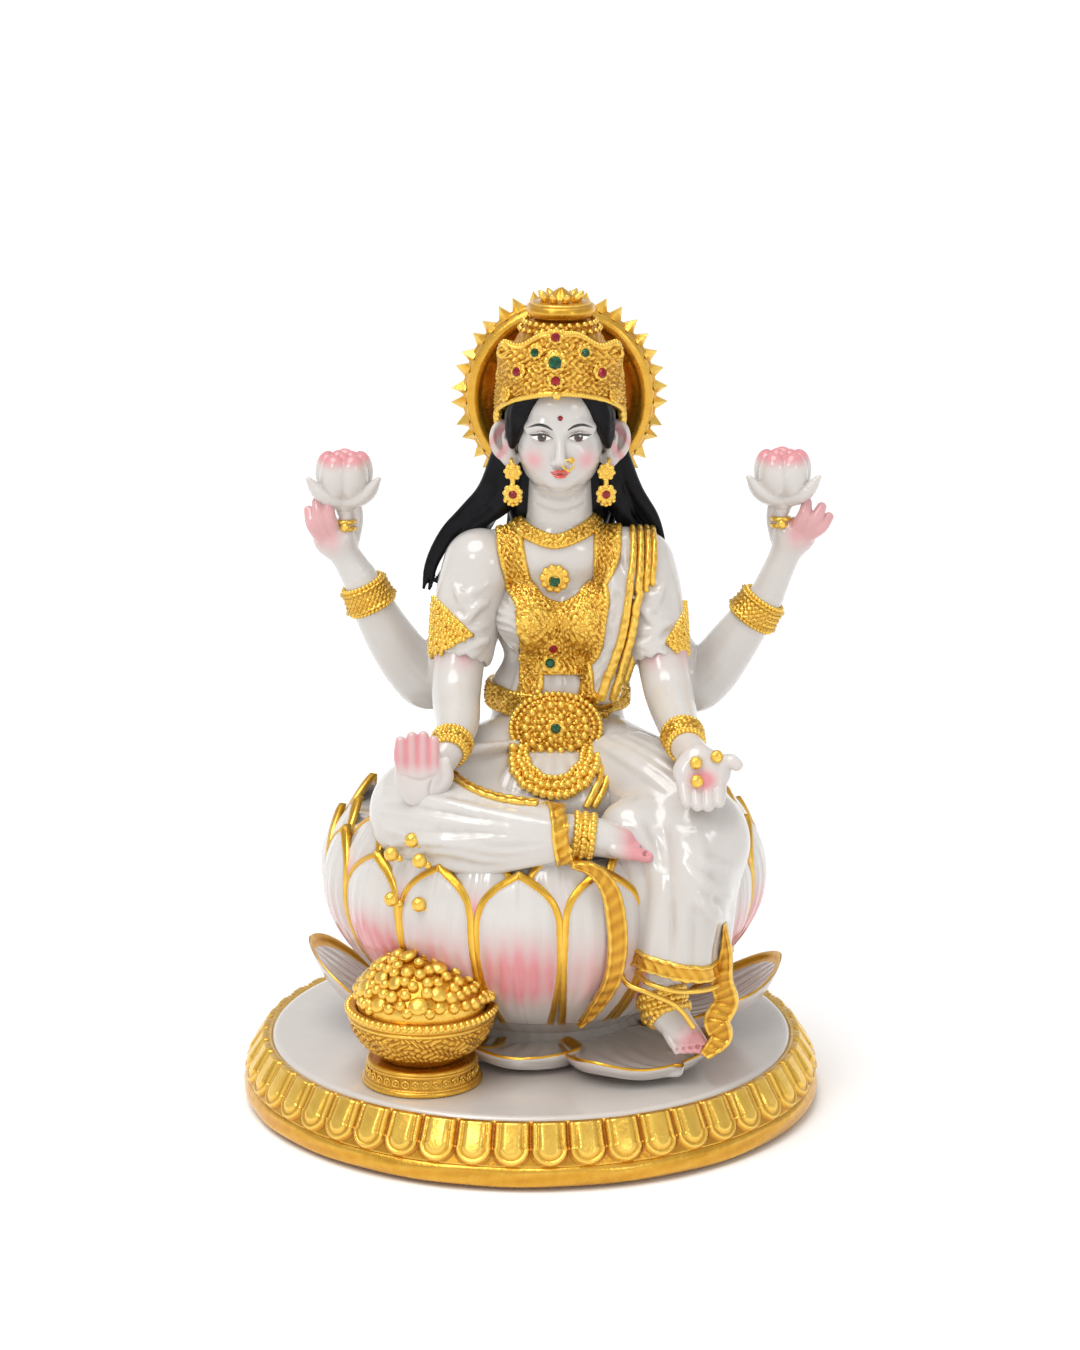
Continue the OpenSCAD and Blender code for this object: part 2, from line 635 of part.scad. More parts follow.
// Bosses on the front of the crown that hold its stones: [angle from the front, radius, height]
bosses = [[0, 9, 190.6], [-37, 13.2, 182.2], [35, 13.2, 182], [-2, 13.4, 180.2],
          [-24, 11, 187.2], [23, 11, 187], [-2, 12.4, 185.4]];
boss_h = 2.4;
function on_crown(b, out) =
    [crown_c[0] + (b[1] + out) * sin(b[0]), crown_c[1] - (b[1] + out) * cos(b[0]), b[2]];
module crown_solid() translate([crown_c[0], crown_c[1], crown_z])
    cylinder(r1 = 13.6, r2 = 15.4, h = crown_h);
module crown() color(gold)
    difference() {
        union() {
            translate([crown_c[0], crown_c[1], crown_z])
                rotate_extrude($fn = 64)
                    polygon([[0, 0], [13.8, 0], [14.6, 1.2], [15, 6], [14.8, 10], [13.6, 14],
                             [10.6, 18], [8.6, crown_h], [0, crown_h]]);
            for (i = [0:12]) translate([crown_c[0], crown_c[1], crown_z + 1.6]) rotate([0, 0, 150 + 20 * i])
                translate([14.5, 0, 0]) sphere(1.5, $fn = 16);
            for (b = bosses) translate(on_crown(b, 0)) rotate([0, 0, b[0] - 90]) rotate([0, 84, 0])
                cylinder(r1 = 2.7, r2 = 1.9, h = boss_h, $fn = 24);
        }
        halo_space();
    }
module halo_space() translate([-100, halo_c[1] - 1.6, 100]) cube([200, 10, 150]);
module crown_cap() color(gold) translate([crown_c[0], crown_c[1] + 0.2, crown_z + crown_h + gap])
    rotate_extrude()
        polygon([[0, 0], [6.8, 0], [8.2, 1], [8.4, 2.2], [7.4, 3.4], [5, 4.2], [4.2, 5], [2.4, 6], [1.2, 6.9],
                 [0.6, 7.3], [0, total_h - crown_z - crown_h - gap]]);
module right_earring() color(gold) earring(-1);
module left_earring() color(gold) earring(1);
module earring(s) {
    x = 6.8 + 11.1 * s;
    translate([x, -0.6, 157.2]) sphere(1.8, $fn = 24);
    translate([x, -0.6, 153.4]) cylinder(r = 0.8, h = 2.6, $fn = 24);
    translate([x, -0.6, 151.7]) sphere(2.3, $fn = 24);
    translate([x, -0.6, 147.6]) cylinder(r1 = 0.6, r2 = 1.5, h = 2.4, $fn = 24);
}
module nose_ornament() color(gold) translate([9.2, -9.2, 161.1]) sphere(0.8, $fn = 24);

// ---------- halo ----------
halo_dish_r = 22.8;
module at_halo() translate(halo_c) rotate([90, 0, 0]) children();
module halo_dish() color(gold) at_halo()
    rotate_extrude($fn = 96)
        polygon([[0, -1.6], [0, 0], [14, 0.3], [18.6, 1.2], [19.4, 2.2], [20.8, 2.9], [22.2, 2.6],
                 [halo_dish_r, 1.4], [halo_dish_r, -1.6]]);
module halo_rays() color(gold) at_halo()
    for (i = [0:ray_count - 1]) rotate([0, 0, (i + 0.5) * 360 / ray_count])
        translate([halo_dish_r + gap, 0, -1.2]) linear_extrude(2.4)
            polygon([[0, -1.7], [halo_r - halo_dish_r - 0.1, 0], [0, 1.7]]);

// ---------- rhinestones and the pin ----------
// Each stone: [x, y, z, radius]
function boss_stone(i, r) = concat(on_crown(bosses[i], boss_h - 0.1), [r]);
red_list = [boss_stone(0, 1.1), boss_stone(1, 1.1), boss_stone(2, 1.1), boss_stone(3, 1.1),
            [-4.3, -3, 151.7, 1.1], [17.9, -3, 151.7, 1.1], [4.8, -9.5, 116.4, 1.1], [6.8, -7.8, 170.6, 0.8]];
green_list = [boss_stone(4, 1.1), boss_stone(5, 1.1), boss_stone(6, 1.6),
              [6, -5.5, 131.3, 1.4], [5, -9.5, 111.2, 1.3], [6, -7, 95.4, 1.5]];
module stone(s) egg([s[0], s[1], s[2]], [s[3], s[3] * 0.8, s[3]], fn = fine);
module red_stones() color("crimson")
    difference() {
        for (s = red_list) stone(s);
        head_body();
        garland_body();
        crown();
    }
module green_stones() color("seagreen")
    difference() {
        for (s = green_list) stone(s);
        garland_body();
        crown();
        belt();
        pendant();
    }
module assembly_pins() color("silver")
    translate([lotus_c[0], lotus_c[1], felt_h + 2 * gap]) cylinder(r = 2.04, h = 32, $fn = 32);

felt_pad();
plinth_moulding();
plinth_gadroons();
plinth_disc();
lotus_core();
lotus_base_petals();
lotus_outer_petals();
lotus_inner_petals();
seat_pod();
pot_foot();
pot_bowl();
pot_coins();
falling_coins();
hip_drape();
right_leg_drape();
left_leg_drape();
left_hem_border();
right_hem_border();
right_foot();
left_foot();
right_anklet();
left_anklet();
torso();
shoulder_sash();
belt();
belt_swag();
necklace();
garland();
pendant();
right_sleeve();
left_sleeve();
sleeve_filigree();
front_right_arm();
front_left_arm();
front_right_hand();
front_left_hand();
front_right_bangle();
front_left_bangle();
palm_coins();
rear_right_arm();
rear_left_arm();
rear_right_hand();
rear_left_hand();
rear_right_bangle();
rear_left_bangle();
finger_rings();
right_lotus_bud();
left_lotus_bud();
head();
hair();
crown();
crown_cap();
right_earring();
left_earring();
nose_ornament();
halo_dish();
halo_rays();
red_stones();
green_stones();
assembly_pins();
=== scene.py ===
import math
import bpy
import numpy as np
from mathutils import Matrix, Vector


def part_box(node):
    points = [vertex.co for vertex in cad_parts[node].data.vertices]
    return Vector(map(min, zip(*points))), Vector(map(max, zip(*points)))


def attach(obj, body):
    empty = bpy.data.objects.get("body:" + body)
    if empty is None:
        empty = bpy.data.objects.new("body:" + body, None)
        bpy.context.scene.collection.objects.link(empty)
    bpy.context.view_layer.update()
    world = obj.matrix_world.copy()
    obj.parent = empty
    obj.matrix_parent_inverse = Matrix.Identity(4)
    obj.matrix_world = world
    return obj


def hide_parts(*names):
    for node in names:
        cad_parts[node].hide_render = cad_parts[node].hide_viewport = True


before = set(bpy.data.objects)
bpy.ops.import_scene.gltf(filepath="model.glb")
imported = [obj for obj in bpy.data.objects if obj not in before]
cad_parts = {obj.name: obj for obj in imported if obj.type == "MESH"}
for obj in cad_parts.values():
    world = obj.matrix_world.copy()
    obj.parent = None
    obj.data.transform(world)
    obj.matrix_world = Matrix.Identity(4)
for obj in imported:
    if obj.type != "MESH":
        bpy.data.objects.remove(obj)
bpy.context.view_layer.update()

# Everything below is worked out in millimetres, in the row frame, and scaled to metres as a mesh is made.
MM = 0.001
GRAIN = 1.0


# ---------------------------------------------------------------- the frame
def low(node):
    return np.array(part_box(node)[0]) / MM


def high(node):
    return np.array(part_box(node)[1]) / MM


def mid(node):
    return (low(node) + high(node)) / 2


def V(*a):
    return np.array(a, float)


def lerp(a, b, t):
    return a + (b - a) * t


def smooth(x, a, b):
    """0 below a, 1 above b, with a smooth step between."""
    t = np.clip((x - a) / (b - a), 0, 1)
    return t * t * (3 - 2 * t)


# ---------------------------------------------------------------- curves
def spline(points, n, closed=False):
    """n points on a Catmull-Rom curve through rows of any width."""
    p = np.asarray(points, float)
    m = len(p)
    if closed:
        t = np.arange(n) / n * m
        i = np.floor(t).astype(int)
        idx = [(i + j) % m for j in (-1, 0, 1, 2)]
    else:
        t = np.linspace(0, m - 1, n)
        i = np.minimum(np.floor(t).astype(int), m - 2)
        p = np.vstack([2 * p[0] - p[1], p, 2 * p[-1] - p[-2]])
        idx = [i, i + 1, i + 2, i + 3]
    f = (t - i)[:, None]
    a, b, c, d = (p[j] for j in idx)
    return 0.5 * (2 * b + (c - a) * f + (2 * a - 5 * b + 4 * c - d) * f ** 2 + (3 * b - a - 3 * c + d) * f ** 3)


def even(path, step, closed=False):
    """The path again, at equal steps."""
    p = np.vstack([path, path[:1]]) if closed else path
    s = np.r_[0, np.cumsum(np.linalg.norm(np.diff(p, axis=0), axis=1))]
    n = max(int(round(s[-1] / step)), 3)
    t = np.arange(n) / n * s[-1] if closed else np.linspace(0, s[-1], n + 1)
    return np.stack([np.interp(t, s, p[:, i]) for i in range(p.shape[1])], 1)


def unit(v):
    return v / np.maximum(np.linalg.norm(v, axis=-1, keepdims=True), 1e-9)


def turn_matrix(turn):
    """Rotation by degrees about X, then Y, then Z."""
    rx, ry, rz = np.radians(turn)
    cx, sx, cy, sy, cz, sz = math.cos(rx), math.sin(rx), math.cos(ry), math.sin(ry), math.cos(rz), math.sin(rz)
    return (np.array([[cz, -sz, 0], [sz, cz, 0], [0, 0, 1]])
            @ np.array([[cy, 0, sy], [0, 1, 0], [-sy, 0, cy]])
            @ np.array([[1, 0, 0], [0, cx, -sx], [0, sx, cx]]))


# ---------------------------------------------------------------- shapes: (low corner, high corner, distance)
def ell(c, r, turn=(0, 0, 0)):
    """An ellipsoid with centre c and half-axes r."""
    c, r, m = V(*c), V(*r), turn_matrix(turn)
    reach = np.abs(m) @ r

    def f(x, y, z):
        x, y, z = x - c[0], y - c[1], z - c[2]
        q = [(m[0, i] * x + m[1, i] * y + m[2, i] * z) / r[i] for i in range(3)]
        k0 = np.sqrt(q[0] ** 2 + q[1] ** 2 + q[2] ** 2)
        k1 = np.sqrt((q[0] / r[0]) ** 2 + (q[1] / r[1]) ** 2 + (q[2] / r[2]) ** 2)
        return k0 * (k0 - 1) / np.maximum(k1, 1e-6)
    return c - reach, c + reach, f


def chain(points, radii, n=None, flat=None):
    """A round tube through points; flat=(direction, factor) thins it along a direction."""
    q = np.column_stack([np.asarray(points, float), radii])
    if n:
        q = spline(q, n)
    p, r = q[:, :3], q[:, 3]
    side, factor = (unit(V(*flat[0])), flat[1]) if flat else (None, 1)

    def f(x, y, z):
        out = None
        for i in range(len(p) - 1):
            a, d = p[i], p[i + 1] - p[i]
            px, py, pz = x - a[0], y - a[1], z - a[2]
            t = np.clip((px * d[0] + py * d[1] + pz * d[2]) / max(d @ d, 1e-9), 0, 1)
            px, py, pz = px - t * d[0], py - t * d[1], pz - t * d[2]
            l2 = px * px + py * py + pz * pz
            if side is not None:
                l2 = l2 + (factor ** 2 - 1) * (px * side[0] + py * side[1] + pz * side[2]) ** 2
            g = np.sqrt(l2) - (r[i] + t * (r[i + 1] - r[i]))
            out = g if out is None else np.minimum(out, g)
        return out
    w = np.max(r)
    return p.min(0) - w, p.max(0) + w, f


def smin(a, b, k):
    h = np.maximum(k - np.abs(a - b), 0) / k
    return np.minimum(a, b) - h * h * k / 4


class Clay:
    """A block of space that shapes are added to and cut from, then skinned as a mesh."""
    FAR = 9.0

    def __init__(self, lo, hi, step):
        self.h = step * GRAIN
        self.lo = np.asarray(lo, float)
        n = np.ceil((np.asarray(hi, float) - self.lo) / self.h).astype(int) + 1
        self.d = np.full(n, self.FAR, np.float32)
        self.axes = [(self.lo[i] + self.h * np.arange(n[i])).astype(np.float32) for i in range(3)]

    def window(self, lo, hi):
        s = []
        for i in range(3):
            a = max(0, int(np.floor((lo[i] - self.lo[i]) / self.h)))
            b = min(self.d.shape[i], int(np.ceil((hi[i] - self.lo[i]) / self.h)) + 1)
            if b <= a:
                return None
            s.append(slice(a, b))
        x, y, z = (self.axes[i][s[i]] for i in range(3))
        return tuple(s), x[:, None, None], y[None, :, None], z[None, None, :]

    def put(self, shape, k=1.0, sign=1):
        lo, hi, f = shape
        w = self.window(lo - k - 2, hi + k + 2)
        if w:
            s, x, y, z = w
            self.d[s] = sign * smin(sign * self.d[s], f(x, y, z).astype(np.float32), k)
        return self

    def cut(self, shape, k=0.6):
        return self.put(shape, k, -1)

    def trim(self, keep):
        """Keeps only the side where keep(x, y, z), a distance, is below zero."""
        x, y, z = self.axes
        self.d = np.maximum(self.d, keep(x[:, None, None], y[None, :, None], z[None, None, :]).astype(np.float32))
        return self

    def at(self, p):
        """Distance at points, by interpolation."""
        q = np.clip((p - self.lo) / self.h, 0, np.array(self.d.shape) - 1.001)
        i = np.floor(q).astype(int)
        f = q - i
        out = 0
        for a in (0, 1):
            for b in (0, 1):
                for c in (0, 1):
                    w = (f[:, 0] if a else 1 - f[:, 0]) * (f[:, 1] if b else 1 - f[:, 1])
                    w = w * (f[:, 2] if c else 1 - f[:, 2])
                    out = out + w * self.d[i[:, 0] + a, i[:, 1] + b, i[:, 2] + c]
        return out

    def normal(self, p):
        e = self.h * 0.8
        g = [self.at(p + e * s) - self.at(p - e * s) for s in np.eye(3)]
        return unit(np.stack(g, 1))

    def cling(self, p, out=0.0, steps=7):
        """Moves points along the gradient onto the surface, or out from it."""
        p = np.array(p, float)
        flat = p.reshape(-1, 3)
        for _ in range(steps):
            flat = flat - np.clip(self.at(flat) - out, -3, 3)[:, None] * self.normal(flat)
        return flat.reshape(p.shape)

    def strike(self, rows, out=0.0):
        """Where lines that run backwards and a little down through the given points meet the surface."""
        q, d = Q(rows), unit(V(0, 1, -0.268))
        t = np.arange(-30, 30, 0.3)
        p = q[:, None] + t[None, :, None] * d
        box = np.all((p > self.lo + 1) & (p < self.lo + self.h * (np.array(self.d.shape) - 1) - 1), axis=-1)
        d = np.where(box, self.at(p.reshape(-1, 3)).reshape(box.shape), self.FAR)
        k = np.where((d < 0).any(1), np.argmax(d < 0, 1), np.argmin(d, 1))
        return self.cling(p[np.arange(len(q)), k], out)

    def fold(self, points, r, k=1.4, depth=0.45, n=9, sign=1):
        """A ridge, or a groove if sign is -1, that runs over the surface and fades at both ends."""
        p = self.cling(spline(points, n), -depth * r)
        t = np.linspace(0, 1, n)
        return self.put(chain(p, r * np.sin(np.pi * (0.06 + 0.88 * t)) ** 0.7), k, sign)

    def skin(self):
        """Vertices and quads of the surface, by surface nets."""
        d = self.d.copy()
        for i in range(3):
            e = [slice(None)] * 3
            for side in (0, -1):
                e[i] = side
                d[tuple(e)] = np.maximum(d[tuple(e)], 0.01)
        inside = d < 0
        count = sum(inside[a:a - 1 or None, b:b - 1 or None, c:c - 1 or None].astype(np.int8)
                    for a in (0, 1) for b in (0, 1) for c in (0, 1))
        cells = np.argwhere((count > 0) & (count < 8))
        index = np.full(count.shape, -1, np.int64)
        index[tuple(cells.T)] = np.arange(len(cells))
        total, hits = np.zeros((len(cells), 3)), np.zeros(len(cells))
        corners = [(a, b, c) for a in (0, 1) for b in (0, 1) for c in (0, 1)]
        value = {q: d[tuple((cells + q).T)] for q in corners}
        for q in corners:
            for i in range(3):
                if q[i] == 0:
                    w = tuple(1 if j == i else q[j] for j in range(3))
                    a, b = value[q], value[w]
                    cross = (a < 0) != (b < 0)
                    t = np.where(cross, a / np.where(cross, a - b, 1), 0)
                    p = np.tile(np.array(q, float), (len(cells), 1))
                    p[:, i] += t
                    total += p * cross[:, None]
                    hits += cross
        verts = self.lo + self.h * (cells + total / hits[:, None])
        quads = []
        for i in range(3):
            j, k = (i + 1) % 3, (i + 2) % 3
            n = [slice(None)] * 3
            n[i] = slice(0, -1)
            m = [slice(None)] * 3
            m[i] = slice(1, None)
            a, b = inside[tuple(n)], inside[tuple(m)]
            edge = np.argwhere(a != b)
            edge = edge[(edge[:, j] > 0) & (edge[:, k] > 0)]
            ring = []
            for dj, dk in ((0, 0), (-1, 0), (-1, -1), (0, -1)):
                e = edge.copy()
                e[:, j] += dj
                e[:, k] += dk
                ring.append(index[tuple(e.T)])
            q = np.stack(ring, 1)
            out = a[tuple(edge.T)]
            quads.append(np.where(out[:, None], q, q[:, ::-1]))
        quads = np.vstack(quads)
        return verts, quads[(quads >= 0).all(1)]


# ---------------------------------------------------------------- meshes
def relax(verts, quads, times, amount=0.5):
    for _ in range(times):
        verts = verts + amount * (neighbour_mean(verts, quads) - verts)
    return verts


def neighbour_mean(values, quads):
    a = quads.ravel()
    b = np.roll(quads, -1, 1).ravel()
    n = len(values)
    count = np.bincount(a, minlength=n) + np.bincount(b, minlength=n)
    out = np.empty_like(values)
    for i in range(values.shape[1]):
        v = values[:, i]
        out[:, i] = (np.bincount(a, v[b], n) + np.bincount(b, v[a], n)) / np.maximum(count, 1)
    return out


def face_normals(verts, quads):
    p = verts[quads]
    return np.cross(p[:, 2] - p[:, 0], p[:, 3] - p[:, 1])


def vertex_normals(verts, quads):
    fn = face_normals(verts, quads)
    out = np.stack([sum(np.bincount(quads[:, j], fn[:, i], len(verts)) for j in range(4)) for i in range(3)], 1)
    return unit(out)


def hollows(verts, quads, spread=2):
    """-1 in a crease, 0 where it is flat, 1 on a ridge."""
    n = vertex_normals(verts, quads)
    gap = neighbour_mean(verts, quads) - verts
    edge = np.linalg.norm(verts[quads[:, 0]] - verts[quads[:, 1]], axis=1).mean()
    c = -np.sum(gap * n, axis=1, keepdims=True) / edge * 4
    for _ in range(spread):
        c = neighbour_mean(c, quads)
    return np.clip(c[:, 0], -1, 1)


def grid_faces(a, b, wrap_a=False, wrap_b=False):
    i = np.arange(a if wrap_a else a - 1)[:, None]
    j = np.arange(b if wrap_b else b - 1)[None, :]
    i2, j2 = (i + 1) % a, (j + 1) % b
    return np.stack([x.ravel() for x in np.broadcast_arrays(i * b + j, i2 * b + j, i2 * b + j2, i * b + j2)], 1)


class Bits:
    """Collects meshes that make up one piece."""

    def __init__(self):
        self.v, self.f, self.a, self.n = [], [], {}, 0

    def add(self, verts, quads, **attrs):
        """Adds a closed mesh, turned so that its faces look outwards."""
        p = (verts - verts.mean(0))[quads]
        if np.sum(p[:, 0] * (np.cross(p[:, 1], p[:, 2]) + np.cross(p[:, 2], p[:, 3]))) < 0:
            flip = quads[:, [0, 3, 2, 1]]
            quads = np.where((quads[:, 2] == quads[:, 3])[:, None], quads[:, [0, 2, 1, 1]], flip)
        self.v.append(verts)
        self.f.append(quads + self.n)
        for key in set(self.a) | set(attrs):
            value = attrs.get(key, 0.0)
            self.a.setdefault(key, [np.zeros(self.n)] if self.n else []).append(np.zeros(len(verts)) + value)
        self.n += len(verts)
        return self

    def plate(self, top, bottom, wrap=False, **attrs):
        """A closed solid between two grids of points, the top one facing outwards."""
        a, b = top.shape[:2]
        f = grid_faces(a, b, wrap)
        n = a * b
        sides = []
        i = np.arange(a if wrap else a - 1)
        i2 = (i + 1) % a
        sides.append(np.stack([i2 * b, i * b, i * b + n, i2 * b + n], 1))
        sides.append(np.stack([i * b + b - 1, i2 * b + b - 1, i2 * b + b - 1 + n, i * b + b - 1 + n], 1))
        if not wrap:
            j = np.arange(b - 1)
            sides.append(np.stack([j, j + 1, j + 1 + n, j + n], 1))
            e = (a - 1) * b
            sides.append(np.stack([e + j + 1, e + j, e + j + n, e + j + 1 + n], 1))
        both = {k: np.concatenate([np.broadcast_to(x, (a, b)).ravel() for x in (v if isinstance(v, tuple) else (v, v))])
                for k, v in attrs.items()}
        return self.add(np.vstack([top.reshape(-1, 3), bottom.reshape(-1, 3)]),
                        np.vstack([f, f[:, ::-1] + n, *sides]), **both)

    def balls(self, centres, radii, squash=None, n=10, **attrs):
        """Round beads, each a small quad sphere; squash thins them along a direction."""
        radii = np.broadcast_to(radii, len(centres))
        u = np.arange(n) / n * 2 * np.pi
        v = (np.arange(n // 2 + 1)) / (n // 2) * np.pi
        v[0], v[-1] = 0.06, np.pi - 0.06
        s = np.stack([np.outer(np.cos(u), np.sin(v)), np.outer(np.sin(u), np.sin(v)),
                      np.outer(np.ones(n), np.cos(v))], -1).reshape(-1, 3)
        f = grid_faces(n, n // 2 + 1, True)[:, ::-1]
        for i, (c, r) in enumerate(zip(centres, radii)):
            p = s * r
            if squash is not None:
                d, k = squash[0][i] if np.ndim(squash[0]) > 1 else squash[0], squash[1]
                p = p + (k - 1) * (p @ d)[:, None] * d
            self.add(c + p, f, **attrs)
        return self

    def tube(self, path, r, n=10, closed=False, **attrs):
        """A round cord along a path; r is a number or one radius per point."""
        p = np.asarray(path, float)
        t = unit(np.roll(p, -1, 0) - np.roll(p, 1, 0)) if closed else unit(np.gradient(p, axis=0))
        up = np.array([0.13, 0.21, 0.97])
        side = unit(np.cross(t, up))
        over = np.cross(side, t)
        a = np.arange(n) / n * 2 * np.pi
        rr = np.broadcast_to(r, len(p))[:, None, None]
        ring = p[:, None] + rr * (np.cos(a)[None, :, None] * side[:, None] + np.sin(a)[None, :, None] * over[:, None])
        f = grid_faces(len(p), n, closed, True)
        if closed:
            return self.add(ring.reshape(-1, 3), f, **attrs)
        v = np.vstack([ring.reshape(-1, 3), p[:1], p[-1:]])
        m = len(p) * n
        i = np.arange(n)
        j = (i + 1) % n
        caps = np.vstack([np.stack([np.full(n, m), i, j, j], 1),
                          np.stack([np.full(n, m + 1), m - n + j, m - n + i, m - n + i], 1)])
        return self.add(v, np.vstack([f, caps]), **attrs)

    def revolve(self, profile, centre, n=96, wave=None, **attrs):
        """A profile of (radius, height) points turned about +Z, closed at the axis; wave changes the radii."""
        q = np.asarray(profile, float)
        a = np.arange(n) / n * 2 * np.pi
        r = q[None, :, 0] * np.ones((n, 1))
        z = q[None, :, 1] * np.ones((n, 1))
        if wave:
            r, z = wave(a[:, None], r, z)
        v = np.stack([centre[0] + r * np.cos(a)[:, None], centre[1] + r * np.sin(a)[:, None], z], -1)
        return self.add(v.reshape(-1, 3), grid_faces(n, len(q), True)[:, ::-1], **attrs)

    def parts(self):
        return np.vstack(self.v), np.vstack(self.f), {k: np.concatenate(x) for k, x in self.a.items()}


def ribbon(bits, clay, path, width, height, step=0.3, closed=False, base=-0.5, out=0.0, swing=None):
    """A raised strip on the clay along a path. height(s, t, w) gives its relief in mm over length s and
    across t, from -w to w. swing fixes the direction across the strip."""
    step = step * GRAIN
    p = even(clay.cling(even(path, step, closed), out), step, closed)
    t = unit(np.roll(p, -1, 0) - np.roll(p, 1, 0)) if closed else unit(np.gradient(p, axis=0))
    n = clay.normal(p)
    across = unit(np.cross(n, t)) if swing is None else np.broadcast_to(unit(V(*swing)), p.shape)
    s = np.r_[0, np.cumsum(np.linalg.norm(np.diff(p, axis=0), axis=1))]
    half = (width(s / s[-1]) if callable(width) else np.full(len(p), float(width))) / 2
    m = max(int(half.max() * 2 / step), 4) + 1
    u = np.linspace(-1, 1, m)
    g = p[:, None] + (half[:, None] * u[None])[:, :, None] * across[:, None]
    g = clay.cling(g, out, 4)
    normal = clay.normal(g.reshape(-1, 3)).reshape(g.shape)
    tt = half[:, None] * u[None]
    h = height(s[:, None], tt, half[:, None])
    edge = np.minimum(1, (half[:, None] - np.abs(tt)) / 0.3 + 0.25)
    top, bottom = g + normal * (h * edge)[:, :, None], g + normal * base
    return bits.plate(top, bottom, closed, relief=h * edge)


def piece(name, verts, quads, material, nodes, attrs=None, smooth_shade=True, slot=None):
    """Makes the Blender object, with its attributes, and lets it stand for its CAD nodes."""
    mesh = bpy.data.meshes.new(name)
    tri = quads[:, 2] == quads[:, 3]
    loops = np.concatenate([quads[~tri].ravel(), quads[tri][:, :3].ravel()])
    nq, nt = int((~tri).sum()), int(tri.sum())
    mesh.vertices.add(len(verts))
    mesh.vertices.foreach_set("co", (verts * MM).astype(np.float32).ravel())
    mesh.loops.add(len(loops))
    mesh.loops.foreach_set("vertex_index", loops.astype(np.int32))
    mesh.polygons.add(nq + nt)
    starts = np.concatenate([np.arange(nq) * 4, nq * 4 + np.arange(nt) * 3])
    mesh.polygons.foreach_set("loop_start", starts.astype(np.int32))
    mesh.polygons.foreach_set("use_smooth", np.full(nq + nt, smooth_shade))
    mesh.update(calc_edges=True)
    for key, value in (attrs or {}).items():
        mesh.attributes.new(key, "FLOAT", "POINT").data.foreach_set("value", value.astype(np.float32))
    obj = bpy.data.objects.new(name, mesh)
    bpy.context.scene.collection.objects.link(obj)
    obj.data.materials.append(material)
    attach(obj, "root")
    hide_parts(*nodes)
    return obj


def cast(name, clay, material, nodes, paint=None, soften=1, slot=None):
    """Skins clay into a piece; paint(verts, normals) returns extra attributes."""
    v, q = clay.skin()
    v = relax(v, q, soften)
    # the hollow attribute drives painted shade in creases (and, on gold, painted highlights on ridges)
    attrs = {"hollow": hollows(v, q)}
    if paint:
        attrs.update(paint(v, vertex_normals(v, q)))
    return piece(name, v, q, material, nodes, attrs, slot=slot)


def gather(name, bits, material, nodes, tone=1.0, **kw):
    v, q, a = bits.parts()
    # tone scales the painted crease shade and ridge highlight carried by hollow
    a["hollow"] = tone * hollows(v, q, 1)
    return piece(name, v, q, material, nodes, a, **kw)


# ---------------------------------------------------------------- materials
def nodes_of(name):
    m = bpy.data.materials.new(name)
    m.use_nodes = True
    t = m.node_tree
    return m, t, t.nodes["Principled BSDF"]


def link(t, a, b):
    t.links.new(a, b)


def node(t, kind, **values):
    n = t.nodes.new(kind)
    for k, v in values.items():
        if k in n.inputs:
            n.inputs[k].default_value = v
        else:
            setattr(n, k, v)
    return n


def attribute(t, name):
    return node(t, "ShaderNodeAttribute", attribute_name=name).outputs["Fac"]


def ramp(t, fac, stops, smooth_steps=False):
    r = t.nodes.new("ShaderNodeValToRGB")
    e = r.color_ramp.elements
    while len(e) < len(stops):
        e.new(0.5)
    for x, (pos, col) in zip(e, stops):
        x.position = pos
        x.color = (*col, 1)
    if smooth_steps:
        r.color_ramp.interpolation = "EASE"
    link(t, fac, r.inputs["Fac"])
    return r.outputs["Color"]


def spread(t, value, a, b):
    """The value's stretch from a to b, as 0 to 1."""
    m = t.nodes.new("ShaderNodeMapRange")
    m.inputs["From Min"].default_value = a
    m.inputs["From Max"].default_value = b
    link(t, value, m.inputs["Value"])
    return m.outputs["Result"]


def blend(t, fac, a, b):
    m = t.nodes.new("ShaderNodeMix")
    m.data_type = "RGBA"
    for socket, x in ((m.inputs["Factor"], fac), (m.inputs["A"], a), (m.inputs["B"], b)):
        if isinstance(x, (tuple, float, int)):
            socket.default_value = (*x, 1) if isinstance(x, tuple) else x
        else:
            link(t, x, socket)
    return m.outputs["Result"]


def number(t, op, a, b=0.5, clamp=False):
    m = t.nodes.new("ShaderNodeMath")
    m.operation = op
    m.use_clamp = clamp
    for socket, x in ((m.inputs[0], a), (m.inputs[1], b)):
        if isinstance(x, (float, int)):
            socket.default_value = x
        else:
            link(t, x, socket)
    return m.outputs[0]


def noise(t, scale, detail=4.0, rough=0.5, vector=None):
    n = node(t, "ShaderNodeTexNoise", Scale=scale, Detail=detail, Roughness=rough)
    if vector is None:
        vector = t.nodes.new("ShaderNodeTexCoord").outputs["Object"]
    link(t, vector, n.inputs["Vector"])
    return n.outputs["Fac"]


def bump(t, bsdf, height, strength, distance):
    b = node(t, "ShaderNodeBump", Strength=strength, Distance=distance)
    link(t, height, b.inputs["Height"])
    link(t, b.outputs["Normal"], bsdf.inputs["Normal"])


# Gold ramp from painted shade in recesses, through the paint's own colour, to a painted highlight on ridges and raised
# work.
SHADED_GOLD, MID_GOLD, LIT_GOLD = (0.36, 0.12, 0.008), (0.62, 0.31, 0.022), (0.84, 0.54, 0.09)
RESIN, PINK = (0.60, 0.57, 0.54), (0.66, 0.24, 0.26)


